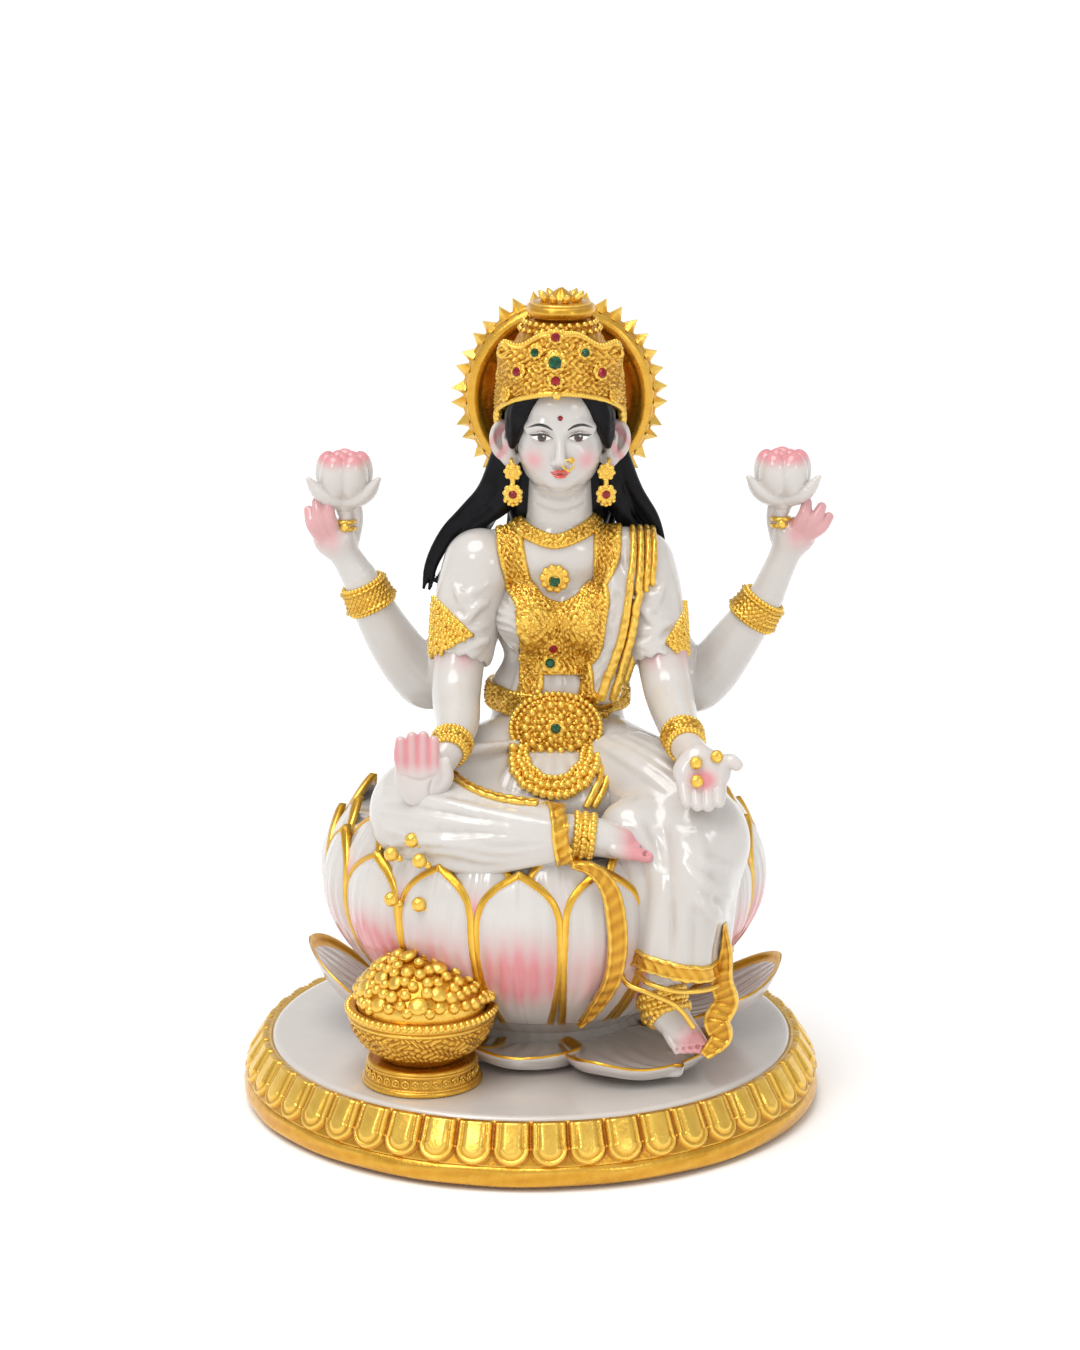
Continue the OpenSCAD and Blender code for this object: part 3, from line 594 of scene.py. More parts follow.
def gold_colour(t, relief=True):
    """Painted shade, darker and browner, in the recesses, and a painted highlight, paler, on ridges and raised work,
    with a faint mottling.
    """
    h = number(t, "MULTIPLY_ADD", attribute(t, "hollow"), 0.5)
    h.node.inputs[2].default_value = 0.55
    if relief:
        h = number(t, "ADD", h, number(t, "MULTIPLY", attribute(t, "relief"), 0.28))
        h = number(t, "SUBTRACT", h, 0.12)
    h = number(t, "ADD", h, number(t, "MULTIPLY", number(t, "SUBTRACT", noise(t, 420.0), 0.5), 0.35))
    return ramp(t, h, [(0.08, SHADED_GOLD), (0.5, MID_GOLD), (0.95, LIT_GOLD)])


def gold_paint(name="gold_leaf", relief=True, rough=0.27):
    m, t, b = nodes_of(name)
    link(t, gold_colour(t, relief), b.inputs["Base Color"])
    b.inputs["Metallic"].default_value = 0.80
    link(t, ramp(t, noise(t, 260.0), [(0.3, (rough - 0.06,) * 3), (0.75, (rough + 0.12,) * 3)]), b.inputs["Roughness"])
    b.inputs["Coat Weight"].default_value = 0.25
    b.inputs["Coat Roughness"].default_value = 0.12
    bump(t, b, noise(t, 900.0, 3.0), 0.22, 0.0004)
    return m


def resin(name, blush=False, gilt=False, paint=None):
    """Glossy off-white cast resin; blush is sprayed pink, gilt is a gold-painted line; creases get a painted brownish
    shade.
    """
    m, t, b = nodes_of(name)
    veins = noise(t, 38.0, 5.0, 0.6)
    tone = blend(t, spread(t, veins, 0.35, 0.7), RESIN, (0.55, 0.515, 0.48))
    # painted shade: creases and hollows are darkened towards a brownish colour
    shade = spread(t, attribute(t, "hollow"), -0.9, -0.05)
    tone = blend(t, shade, (0.38, 0.31, 0.27), tone)
    if blush:
        cloud = number(t, "ADD", attribute(t, "blush"), number(t, "MULTIPLY_ADD", noise(t, 160.0), 0.16))
        cloud.node.inputs[1].links[0].from_node.inputs[2].default_value = -0.08
        tone = blend(t, number(t, "MULTIPLY", cloud, attribute(t, "blush"), clamp=True), tone, PINK)
    if paint:
        tone = paint(t, tone)
    link(t, tone, b.inputs["Base Color"])
    b.inputs["Subsurface Weight"].default_value = 0.12
    b.inputs["Subsurface Radius"].default_value = (1.0, 0.75, 0.6)
    b.inputs["Subsurface Scale"].default_value = 0.0016
    rough = ramp(t, noise(t, 120.0), [(0.3, (0.16,) * 3), (0.8, (0.26,) * 3)])
    link(t, rough, b.inputs["Roughness"])
    b.inputs["Coat Weight"].default_value = 0.55
    b.inputs["Coat Roughness"].default_value = 0.06
    bump(t, b, noise(t, 190.0, 3.0), 0.12, 0.0006)
    if gilt:
        g = node(t, "ShaderNodeBsdfPrincipled", Metallic=0.88, Roughness=0.28)
        link(t, gold_colour(t, False), g.inputs["Base Color"])
        bump(t, g, noise(t, 900.0, 3.0), 0.22, 0.0004)
        mix = t.nodes.new("ShaderNodeMixShader")
        wobble = number(t, "MULTIPLY", number(t, "SUBTRACT", noise(t, 330.0), 0.5), 0.5)
        edge = spread(t, number(t, "ADD", attribute(t, "gilt"), wobble), -0.08, 0.08)
        link(t, edge, mix.inputs["Fac"])
        link(t, b.outputs["BSDF"], mix.inputs[1])
        link(t, g.outputs["BSDF"], mix.inputs[2])
        link(t, mix.outputs["Shader"], t.nodes["Material Output"].inputs["Surface"])
    return m


def glossy_black():
    m, t, b = nodes_of("hair_black")
    link(t, ramp(t, noise(t, 300.0), [(0.3, (0.002, 0.002, 0.003)), (0.8, (0.009, 0.009, 0.011))]),
         b.inputs["Base Color"])
    b.inputs["Roughness"].default_value = 0.34
    b.inputs["Specular IOR Level"].default_value = 0.08
    b.inputs["Coat Weight"].default_value = 0.10
    b.inputs["Coat Roughness"].default_value = 0.1
    bump(t, b, noise(t, 700.0, 3.0), 0.15, 0.0003)
    return m


def stone(name, deep, bright):
    m, t, b = nodes_of(name)
    link(t, ramp(t, noise(t, 900.0, 2.0), [(0.35, deep), (0.7, bright)]), b.inputs["Base Color"])
    b.inputs["Roughness"].default_value = 0.16
    b.inputs["Specular IOR Level"].default_value = 0.3
    b.inputs["Coat Weight"].default_value = 0.35
    b.inputs["Coat Roughness"].default_value = 0.04
    return m


def felt():
    m, t, b = nodes_of("felt_grey")
    link(t, ramp(t, noise(t, 1500.0), [(0.3, (0.03, 0.03, 0.033)), (0.8, (0.10, 0.10, 0.105))]),
         b.inputs["Base Color"])
    b.inputs["Roughness"].default_value = 0.95
    b.inputs["Sheen Weight"].default_value = 0.4
    bump(t, b, noise(t, 2500.0, 2.0), 0.6, 0.0004)
    return m


def turned_steel():
    m, t, b = nodes_of("turned_steel")
    link(t, ramp(t, noise(t, 800.0), [(0.3, (0.42, 0.42, 0.44)), (0.8, (0.62, 0.62, 0.64))]), b.inputs["Base Color"])
    b.inputs["Metallic"].default_value = 1.0
    b.inputs["Roughness"].default_value = 0.35
    return m


GOLD = gold_paint()
WHITE = resin("marble_resin", blush=True)
GILDED = resin("gilded_resin", blush=True, gilt=True)
BLACK = glossy_black()
RED = stone("ruby_stone", (0.14, 0.0, 0.004), (0.34, 0.003, 0.008))
GREEN = stone("emerald_stone", (0.0, 0.030, 0.010), (0.004, 0.11, 0.04))
FELT = felt()
STEEL = turned_steel()


# ---------------------------------------------------------------- plinth
PLINTH_R = (high("plinth_moulding") - low("plinth_moulding"))[0] / 2
DISC_Z = high("plinth_disc")[2]
DISC_R = (high("plinth_disc") - low("plinth_disc"))[0] / 2
LEAVES = 48


def cast_wobble(a, r, z):
    """The slight unevenness of a hand-finished casting."""
    return r + 0.12 * np.sin(7 * a + z) + 0.09 * np.sin(17 * a - 2 * z), z


def plinth():
    z0 = low("felt_pad")[2]
    top = high("felt_pad")[2]
    felt_r = (high("felt_pad") - low("felt_pad"))[0] / 2
    bits = Bits().revolve([(0, z0), (felt_r * 0.6, z0), (felt_r - 0.3, z0), (felt_r, z0 + 0.2), (felt_r, top - 0.1),
                           (felt_r - 0.2, top), (0, top)], (0, 0), 128)
    gather("felt_pad_cut", bits, FELT, ["felt_pad"])

    r, s = PLINTH_R, 0.0
    arc = [(r - 1.0 + 0.95 * math.sin(math.radians(b)), 3.6 - 2.4 * math.cos(math.radians(b)))
           for b in range(0, 181, 15)]
    profile = [(0, top), (r - 6, top), (r - 1.6, top + 0.1), *arc, (r - 2.0, 6.6), (r - 3.4, 8.4), (r - 6.8, DISC_Z - 2.6),
               (DISC_R + 0.3, DISC_Z - 0.9), (DISC_R - 0.4, DISC_Z - 1.0), (DISC_R - 0.6, DISC_Z - 2.8), (0, DISC_Z - 2.9)]
    bits = Bits().revolve(even(V(*profile).reshape(-1, 2), 0.7), (0, 0), 360, cast_wobble)
    gather("plinth_moulding_cast", bits, GOLD, ["plinth_moulding"])

    n, m = int(LEAVES * 26 / GRAIN ** 0.5), int(46 / GRAIN ** 0.5)
    a, v = np.arange(n)[:, None] / n * 2 * np.pi, np.linspace(0, 1, m)[None]
    r0, z0, r1, z1 = DISC_R + 0.6, DISC_Z - 0.5, r - 1.0, 6.1
    length = math.hypot(r1 - r0, z1 - z0)
    half = np.pi * (r0 + r1) / 2 / LEAVES
    x = (a / (2 * np.pi) * LEAVES % 1 - 0.5) * 2 * half
    y = v * length
    foot = length - half * 0.98
    d = np.where(y > foot, half * 0.98 - np.hypot(x, y - foot), half * 0.93 - np.abs(x))
    lobe = 0.95 * smooth(d, -0.15, 0.5) + 0.30 * np.exp(-((d - 0.75) / 0.34) ** 2)
    lobe += 0.75 * smooth(d, 1.25, 2.6) * (0.65 + 0.35 * smooth(y, 1.0, length * 0.6))
    h = 0.25 + lobe * smooth(v, 0.0, 0.08)
    nr, nz = (z0 - z1) / length, (r1 - r0) / length
    rr, zz = lerp(r0, r1, v) + nr * h, lerp(z0, z1, v) + nz * h
    surface = np.stack([rr * np.cos(a), rr * np.sin(a), zz + 0 * a], -1)
    rb, zb = lerp(r0, r1, v) - nr * 0.8 + 0 * a, lerp(z0, z1, v) - nz * 0.8 + 0 * a
    back = np.stack([rb * np.cos(a), rb * np.sin(a), zb], -1)
    bits = Bits().plate(surface[::-1], back[::-1], True, relief=(h - 0.3)[::-1])
    gather("plinth_gadroons_cast", bits, GOLD, ["plinth_gadroons"])

    edge = [(DISC_R - 0.9 + 0.9 * math.sin(math.radians(b)), DISC_Z - 0.9 + 0.9 * math.cos(math.radians(b)))
            for b in range(0, 91, 15)]
    bits = Bits().revolve(even(V(*[(0, DISC_Z), *edge, (DISC_R, DISC_Z - 2.6), (0, DISC_Z - 2.6)]).reshape(-1, 2)[::-1],
                               1.0), (0, 0), 256)
    v, q, _ = bits.parts()
    piece("plinth_disc_cast", v, q, WHITE, ["plinth_disc"], {"blush": disc_blush(v)}, slot="white_resin")


def disc_blush(v):
    """A faint pink drift of spray where the petals meet the disc."""
    r = np.hypot(v[:, 0] - AXIS[0], v[:, 1] - AXIS[1])
    return 0.30 * (1 - smooth(r, 36, 50))


# ---------------------------------------------------------------- lotus
AXIS = mid("lotus_core")[:2]
BELLY_R = (high("lotus_core") - low("lotus_core"))[0] / 2
SEAT_Z = high("seat_pod")[2]
SEAT_R = (high("seat_pod") - low("seat_pod"))[0] / 2
BELLY_Z = SEAT_Z - 17
FOOT_Z = low("lotus_outer_petals")[2]
PETALS = 16
FIRST = -96.5     # bearing of the front petal, in degrees from +X


def body_radius(z):
    return BELLY_R - 19 * (np.maximum(0, BELLY_Z - z) / 30) ** 2 - 6 * (np.maximum(0, z - BELLY_Z) / 17) ** 2


def leaf_half(w, s):
    """Half width of an upright petal: narrow at the foot, widest past the middle, pointed."""
    up = 0.60 + 0.40 * np.sin(np.pi / 2 * np.minimum(s, 0.56) / 0.56)
    down = np.cos(np.pi / 2 * (np.clip((s - 0.56) / 0.44, 0, 1)) ** 2.2)
    return w * np.where(s < 0.56, up, np.maximum(down, 0.02))


def upright_petals(name, cad, shift, w, z0, z1, out, lean, thick=1.7):
    bits = Bits()
    m, n = int(44 / GRAIN ** 0.5), int(74 / GRAIN ** 0.5)
    u, v = np.linspace(-1, 1, m)[:, None], np.linspace(0, 1, n)[None]
    for i in range(PETALS):
        rise = z1 + 0.7 * math.sin(2.1 * i + shift)
        wide = w * (1 + 0.03 * math.sin(3.7 * i))
        bearing = math.radians(FIRST + shift + i * 360 / PETALS)
        half = leaf_half(wide, v)
        x = u * half
        z = lerp(z0, rise, v) + 0 * u
        slope = np.abs(np.gradient(half[0]) / ((rise - z0) / n))[None]
        d = (half - np.abs(x)) / np.sqrt(1 + slope ** 2)
        rows = np.cos(x / wide * np.pi * 6 + 0.6 * np.sin(9 * v + i))
        streak = rows * smooth(d, 1.5, 3.0) * smooth(v, 0.0, 0.2) * (1 - smooth(v, 0.7, 0.98))
        r = body_radius(z) + out + 2.3 * (1 - u ** 2) * np.sin(np.pi * np.clip(v * 0.92 + 0.04, 0, 1)) ** 0.6
        r = r + lean * v ** 3 + 0.13 * streak + 0.5 * (1 - smooth(d, 1.15, 1.65)) - 0.25 * np.exp(-(u / 0.05) ** 2)
        a = bearing + x / (body_radius(z) + out)
        face = np.stack([AXIS[0] + r * np.cos(a), AXIS[1] + r * np.sin(a), z], -1)
        rb = r - thick * (0.45 + 0.55 * smooth(d, 0, 1.2)) - 0.4
        back = np.stack([AXIS[0] + rb * np.cos(a), AXIS[1] + rb * np.sin(a), z - 0.2], -1)
        strength = (1.2, 0.75, 1.4, 1.0, 1.5, 0.8)[(i * 5 + int(shift)) % 6]
        pink = strength * smooth(v, 0.02, 0.35) * (1 - smooth(v, 0.42, 0.85)) * (0.9 + 0.1 * rows) * (1.05 - 0.35 * np.abs(u))
        bits.plate(face, back, gilt=1.6 - d, blush=np.clip(pink, 0, 1))
    gather(name, bits, GILDED, [cad])


# Spreading petals: bearing from -Y towards +X, reach, tip height, half width
SPREAD = [(-8, 43, 22.5, 14), (34, 57, 22.5, 19), (85, 59, 34, 16), (130, 56, 33, 15),
          (178, 55, 33, 15), (226, 56, 34, 15), (272, 58, 38.5, 16), (318, 52, 26, 14)]


def spread_petals():
    bits = Bits()
    m, n = int(56 / GRAIN ** 0.5), int(64 / GRAIN ** 0.5)
    u, v = np.linspace(-1, 1, m)[:, None], np.linspace(0, 1, n)[None]
    for k, (bearing, reach, tip, w) in enumerate(SPREAD):
        a = math.radians(bearing - 90)
        half = w * (0.72 + 0.28 * np.sin(np.pi / 2 * np.minimum(v, 0.55) / 0.55))
        half = half * np.sqrt(np.maximum(1 - (np.clip((v - 0.5) / 0.5, 0, 1)) ** 2.4, 0.012))
        lift = tip - DISC_Z - 4.6
        r = 25 + (reach - 25) * v + 0 * u
        notch = 2.0 * np.exp(-(u / 0.22) ** 2) * smooth(v, 0.8, 1.0) * (1 if k in (1,) else 0)
        r = r + notch
        x = u * half + 0.9 * np.sin(6.0 * v + k)
        edge = half * (1 - np.abs(u))
        slope = np.minimum(np.abs(np.gradient(half[0]) / ((reach - 25) / n)), 4)[None]
        d = edge / np.sqrt(1 + slope ** 2)
        z = DISC_Z + 3.4 + lift * v ** 2.2 + 2.4 * np.abs(x / w) ** 3 * (0.4 + 0.6 * v) + 0.5 * np.sin(5 * v + 3 * x / w + k)
        z = z + 0.7 * (1 - smooth(d, 0.9, 1.7)) + 0.10 * np.cos(u * np.pi * 7) * smooth(d, 2, 4)
        thick = lerp(3.6, 2.6, smooth(v, 0.5, 1.0)) + 0.25 * lift * (v ** 2.2) * (1 - v) - 0.8 * (1 - smooth(d, 0, 0.8))
        base = np.maximum(z - np.maximum(thick, 1.4), DISC_Z + 0.15 + 0 * z)
        inward = 1 - 0.10 * smooth(z - base, 0, 4)
        place = [np.stack([AXIS[0] + rr * math.cos(a) - xx * math.sin(a), AXIS[1] + rr * math.sin(a) + xx * math.cos(a), zz], -1)
                 for rr, xx, zz in ((r, x, z), (25 + (r - 25) * 0.985, x * inward, base))]
        pink = 0.5 * smooth(v, 0.1, 0.5) * (1 - smooth(v, 0.6, 0.95)) * (1 if lift > 8 else 0.6)
        bits.plate(place[0][::-1], place[1][::-1], gilt=((2.9 - d)[::-1], -5.0), blush=(pink + 0 * u)[::-1])
    # tone=0.2 keeps the painted crease shade on these petals faint
    gather("lotus_base_petals_cast", bits, GILDED, ["lotus_base_petals"], tone=0.2)


def lotus():
    z = np.linspace(FOOT_Z - 6, SEAT_Z - 3, 50)
    profile = np.column_stack([body_radius(z), z])
    profile = np.vstack([[0, DISC_Z + 0.1], [24, DISC_Z + 0.1], [29, DISC_Z + 1.2], profile, [0, SEAT_Z - 3]])
    bits = Bits().revolve(profile, AXIS, 192, lambda a, r, zz: (r + 0.15 * np.cos(48 * a), zz))
    gather("lotus_core_cast", bits, WHITE, ["lotus_core"], slot="white_resin")
    q = even(V((0, SEAT_Z - 2.9), (SEAT_R, SEAT_Z - 2.9), (SEAT_R + 0.3, SEAT_Z - 2.0), (SEAT_R - 0.6, SEAT_Z - 0.5),
               (SEAT_R - 2.4, SEAT_Z), (SEAT_R - 5, SEAT_Z - 0.4), (0, SEAT_Z - 0.2)).reshape(-1, 2), 0.6)
    bits = Bits().revolve(q, AXIS, 240, lambda a, r, zz: (r, zz + 0.22 * np.cos(60 * a) * smooth(r, SEAT_R - 9, SEAT_R - 4)))
    gather("seat_pod_cast", bits, WHITE, ["seat_pod"], slot="white_resin")
    top = high("lotus_outer_petals")[2]
    upright_petals("lotus_outer_petals_cast", "lotus_outer_petals", 0, 10.6, FOOT_Z + 0.2, top, 1.5, 1.4)
    upright_petals("lotus_inner_petals_cast", "lotus_inner_petals", 180 / PETALS, 8.6,
                   low("lotus_inner_petals")[2] - 6, high("lotus_inner_petals")[2], 0.2, 1.0)
    spread_petals()


# ---------------------------------------------------------------- pot of coins
POT = mid("pot_foot")[:2]
POT_R = (high("pot_bowl") - low("pot_bowl"))[0] / 2
RIM_Z = high("pot_bowl")[2]


def pot():
    z = low("pot_foot")[2]
    profile = [(0, z), (14.3, z), (14.6, z + 0.5), (14.3, z + 1.2), (13.6, z + 1.5), (13.3, z + 2.4), (13.0, z + 3.6),
               (12.7, z + 4.4), (13.2, z + 4.9), (13.4, z + 5.4), (12.9, z + 5.9), (0, z + 5.9)]
    bits = Bits().revolve(even(V(*profile).reshape(-1, 2), 0.35)[::1], POT, 240)
    for i in range(34):
        a = 2 * math.pi * i / 34
        c = V(POT[0] + 13.25 * math.cos(a), POT[1] + 13.25 * math.sin(a), z + 2.9)
        out, side = V(math.cos(a), math.sin(a), 0), V(-math.sin(a), math.cos(a), 0)
        w = np.arange(12) / 12 * 2 * np.pi
        ring = c + 0.85 * (np.cos(w)[:, None] * side + np.sin(w)[:, None] * V(0, 0, 1))
        bits.tube(ring, 0.26, 6, True, relief=0.6)
        bits.balls([c + 0.1 * out], 0.32, n=8, relief=0.7)
    for zz, r in ((z + 1.4, 13.7), (z + 4.6, 13.1)):
        w = np.arange(160) / 160 * 2 * np.pi
        bits.tube(np.column_stack([POT[0] + r * np.cos(w), POT[1] + r * np.sin(w), zz + 0 * w]), 0.3, 8, True, relief=0.5)
    gather("pot_foot_cast", bits, GOLD, ["pot_foot"])

    z = low("pot_bowl")[2]
    h = RIM_Z - z
    outer = spline([(9.6, z), (10.6, z + 0.8), (14.0, z + 0.30 * h), (16.2, z + 0.55 * h), (16.9, z + 0.76 * h)], 60)
    rim = [(17.3, RIM_Z - 2.2), (17.9, RIM_Z - 1.7), (18.0, RIM_Z - 0.7), (17.4, RIM_Z), (16.2, RIM_Z), (15.4, RIM_Z - 1),
           (14.6, RIM_Z - 4), (0, RIM_Z - 8)]
    profile = np.vstack([[0, z], outer, even(V(*rim).reshape(-1, 2), 0.5)])
    bits = Bits()

    def scrolls(a, r, zz):
        s, t = a * 15.0, zz * 1.0
        curl = np.sin(2.1 * s + 1.6 * np.sin(1.3 * t + 0.6 * s)) * np.sin(1.9 * t + 1.4 * np.sin(0.9 * s))
        on = smooth(zz, z + 1.5, z + 3) * (1 - smooth(zz, RIM_Z - 3.6, RIM_Z - 2.6)) * smooth(r, 10, 12)
        return r + 0.55 * smooth(np.abs(curl), 0.12, 0.5) * on, zz
    bits.revolve(profile, POT, int(420 / GRAIN), scrolls)
    v, q, a = bits.parts()
    a["relief"] = 0.6 * smooth(np.hypot(v[:, 0] - POT[0], v[:, 1] - POT[1])
                               - np.interp(v[:, 2], profile[1:61, 1], profile[1:61, 0]), 0.05, 0.5)
    w = np.arange(260) / 260 * 2 * np.pi
    rope = Bits().add(v, q, relief=a["relief"])
    for k in range(64):
        b = 2 * math.pi * k / 64
        c = V(POT[0] + 17.6 * math.cos(b), POT[1] + 17.6 * math.sin(b), RIM_Z - 0.6)
        rope.balls([c], 0.95, n=8, relief=0.6)
    rope.tube(np.column_stack([POT[0] + 17.2 * np.cos(w), POT[1] + 17.2 * np.sin(w), RIM_Z - 2.6 + 0 * w]), 0.5, 8, True,
              relief=0.4)
    gather("pot_bowl_cast", rope, GOLD, ["pot_bowl"])

    top = high("pot_coins")[2]
    rng = np.random.default_rng(11)
    r_in = POT_R - 2.4

    def dome(r):
        return RIM_Z - 0.6 + (top - RIM_Z - 1.4) * np.sqrt(np.maximum(1 - (r / (r_in + 0.8)) ** 2, 0)) ** 1.25
    rr = np.linspace(0, r_in, 24)
    bits = Bits().revolve(np.vstack([[0, RIM_Z - 6], [r_in - 1, RIM_Z - 6], np.column_stack([rr, dome(rr) - 0.9])[::-1]]),
                          POT, 90, relief=0.0)
    placed = []
    for _ in range(6000):
        r, a = r_in * math.sqrt(rng.random()), rng.random() * 2 * math.pi
        p = V(POT[0] + r * math.cos(a), POT[1] + r * math.sin(a), dome(r))
        size = 1.35 + 0.95 * rng.random() ** 2
        if all(np.linalg.norm(p - q) > 0.80 * (size + g) for q, g in placed):
            placed.append((p, size))
    for p, g in placed:
        lean = unit(V(p[0] - POT[0], p[1] - POT[1], 12) + 7 * (rng.random(3) - 0.5))
        flat = 0.5 if g > 1.7 else 0.9
        bits.balls([p - 0.1 * lean], g * (1.12 if flat < 0.6 else 1.0), (lean, flat), 14, relief=0.2 + 0.35 * rng.random())
    for c, k in ((V(POT[0], POT[1], top - 1.6), 9), (V(POT[0] + 15.5, POT[1] - 3, RIM_Z + 3.2), 8),
                 (V(POT[0] + 16.5, POT[1] + 2, RIM_Z + 0.8), 6), (V(POT[0] - 12, POT[1] - 9, RIM_Z + 2.2), 6)):
        for j in range(k):
            d = unit(V(math.cos(2.4 * j), math.sin(2.4 * j), 0.5 * math.cos(1.7 * j)))
            bits.balls([c + 1.35 * d], 1.2, n=12, relief=0.5)
        bits.balls([c + V(0, 0, 0.6)], 1.3, n=12, relief=0.6)
    gather("pot_coins_cast", bits, GOLD, ["pot_coins"])


# ---------------------------------------------------------------- the figure's cloth and limbs
SIZE = high("crown_cap")[2] / 200      # the figure's scale against a 200 mm statue


def P(x, y, z):
    """A point of the figure, as on a 200 mm statue."""
    return V(x, y, z) * SIZE


def Q(rows):
    return np.array(rows, float) * SIZE


def mirror(rows, x0=13.6):
    """The same points on the figure's other side."""
    q = np.array(rows, float)
    q[..., 0] = x0 - q[..., 0]
    return q


def torso_clay():
    c = Clay(P(-23, -12, 84), P(37, 25, 148), 0.42)
    c.put(ell(P(6.5, 9, 99), Q((16.6, 10.8, 13))))
    c.put(ell(P(6.5, 9.3, 88), Q((18.5, 13, 9))), 4)
    c.put(ell(P(6.5, 8, 119), Q((15.6, 10.6, 15.5))), 5)
    c.put(chain(Q([(-10.5, 9, 131.4), (-3, 9, 134), (6.6, 8.6, 134.6), (16, 9, 134), (23.6, 9, 131.4)]),
                Q((8.0, 7.4, 6.8, 7.4, 8.0)), 13), 4)
    for x in (-1.0, 14.0):
        c.put(ell(P(x, 0.2, 120), Q((7.6, 7.0, 7.4))), 2.6)
    c.put(ell(P(6.4, 2.2, 99.5), Q((11.5, 6.4, 10))), 4)
    c.put(chain(Q([(6.8, 8.6, 134), (6.8, 7.8, 143.5)]), Q((9.0, 7.4))), 4)
    c.put(ell(P(6.6, 5, 135.5), Q((12, 7.2, 7))), 4)
    c.put(chain(Q([(22.6, 5, 136), (22.4, -0.5, 128), (20.6, -2.6, 117), (17.5, -2.6, 104)]), Q((5.6, 5.2, 5.0, 4.4)), 13), 3)
    rng = np.random.default_rng(3)
    for side in (0, 1):                       # creases of the bodice, from the armpit and under the bust
        for i in range(8):
            a = (-12 + 0.4 * i, 2 - 1.2 * i, 127 - 2.6 * i)
            b = (-4 + 0.5 * i + rng.random(), -8, 125 - 3.0 * i + rng.random())
            m = ((a[0] + b[0]) / 2, -7, (a[2] + b[2]) / 2 + 1.2)
            rows = mirror([a, m, b]) if side else np.array([a, m, b])
            c.fold(rows * SIZE, 0.75, 0.9, 0.2, 9, -1)
    for i in range(7):                        # gathers above the belt
        x = -7 + 4.4 * i
        c.fold(Q([(x, -2, 100), (x + 0.5, -4, 104), (x + 1.5 * math.sin(i), -5, 110)]), 0.8, 1.2, 0.3)
    for i in range(5):                        # pleats of the sash between its two gold edges
        o = 0.75 * i
        c.fold(Q([(20.4 + o, 2, 138), (20.6 + o, -5, 130), (19.4 + o, -8, 119), (16.6 + o, -8, 106)]), 0.7, 0.5, 0.1, 22, -1)
    for i in range(9):                        # folds down the back
        x = -7 + 3.4 * i
        c.fold(Q([(x, 19, 128), (x + 0.6, 20, 116), (x - 0.5 + 0.02 * i * i, 20, 103)]), 0.9, 1.4, 0.35, 12)
    return c


def sleeve_clay(side):
    """The short draped sleeve; side is -1 for the figure's right arm and 1 for the left."""
    turn = (lambda q: Q(q)) if side < 0 else (lambda q: Q(mirror(q)))
    lo, hi = (P(-30, -14, 103), P(1, 22, 144)) if side < 0 else (P(12, -14, 103), P(44, 22, 144))
    c = Clay(lo, hi, 0.4)
    c.put(chain(turn([(-12.2, 8, 131.4), (-14.6, 5.5, 124), (-16.4, 1.0, 112.5)]), Q((9.2, 8.6, 7.6)), 9))
    for i in range(11):
        z = 130 - 1.9 * i
        lift = 2.4 * math.sin(1.3 * i)
        c.fold(turn([(-21 - 0.1 * i, -4.5, z + lift), (-16, -8.5, z - 1.5), (-9, -5, z - 0.5 - lift)]), 0.85, 1.0, 0.3, 9)
        c.fold(turn([(-22, 11, z - lift), (-14, 16.5, z - 1.8), (-8, 14, z)]), 0.85, 1.0, 0.3, 9)
    x, y, z = (-17.4, -0.2, 108.4)
    hollow = turn([(x, y, z), (x - 1.5, y - 2.6, z - 6)])
    cut = unit(hollow[1] - hollow[0])
    origin = turn([(-17.0, 1.0, 109.6)])[0]
    c.trim(lambda a, b, d: (a - origin[0]) * cut[0] + (b - origin[1]) * cut[1] + (d - origin[2]) * cut[2]
           - 0.5 * np.sin(a * 1.9) * np.cos(b * 1.5))
    c.cut(chain(hollow, (6.6, 7.2)), 0.5)
    return c


def limb_clay(lo, hi, rows, radii, n=24):
    return Clay(lo, hi, 0.4).put(chain(Q(rows), Q(radii), n))


FR_WRIST, FR_PALM = P(-19.4, -26, 94.6), P(-25.8, -32.5, 89.6)
FL_WRIST, FL_PALM = P(36.8, -28.5, 96.4), P(40.0, -37.6, 92.6)


def front_arm(side):
    if side < 0:
        rows = [(-15.2, 4, 121), (-17.2, 0, 111), (-18.0, -6, 103), (-17.6, -16, 98.5), (-19.2, -25.6, 94.8)]
        lo, hi = P(-29, -32, 84), P(-6, 12, 124)
    else:
        rows = [(29.4, 4, 121), (31.6, 0, 111.5), (33.2, -6, 103.6), (34.8, -16, 99.6), (36.8, -28.5, 96.4)]
        lo, hi = P(20, -34, 87), P(46, 12, 124)
    return limb_clay(lo, hi, rows, (6.3, 6.2, 5.9, 5.2, 3.7))


def rear_arm(side):
    if side < 0:
        rows = [(-6, 16.5, 127), (-15, 18, 113), (-23.5, 17.5, 101), (-29, 17, 103.5), (-36, 16, 114), (-42, 15, 127)]
        lo, hi = P(-50, 6, 88), P(6, 27, 134)
    else:
        rows = [(20, 16.5, 127), (29, 18, 113), (38, 17.5, 100.5), (43.6, 17, 102), (51, 16, 112), (57.8, 15, 122.5)]
        lo, hi = P(8, 6, 88), P(65, 27, 134)
    return limb_clay(lo, hi, rows, (6.6, 7.4, 7.6, 7.0, 5.8, 4.3), 30)


def finger(clay, base, along, normal, length, radius, curl, k=0.35):
    """Three bones, each turned further towards the palm by curl degrees."""
    p, points, a = base, [base], 0.0
    for share, bend in zip((0.44, 0.32, 0.24), curl):
        a += math.radians(bend)
        p = p + length * share * (math.cos(a) * along + math.sin(a) * normal)
        points.append(p)
    clay.put(chain(points, [radius, radius * 0.97, radius * 0.88, radius * 0.72], 9), k)
    tip = points[-1] - 0.35 * (math.cos(a) * normal - math.sin(a) * along) * radius
    clay.put(ell(tip, (radius * 0.55,) * 3), 0.3)


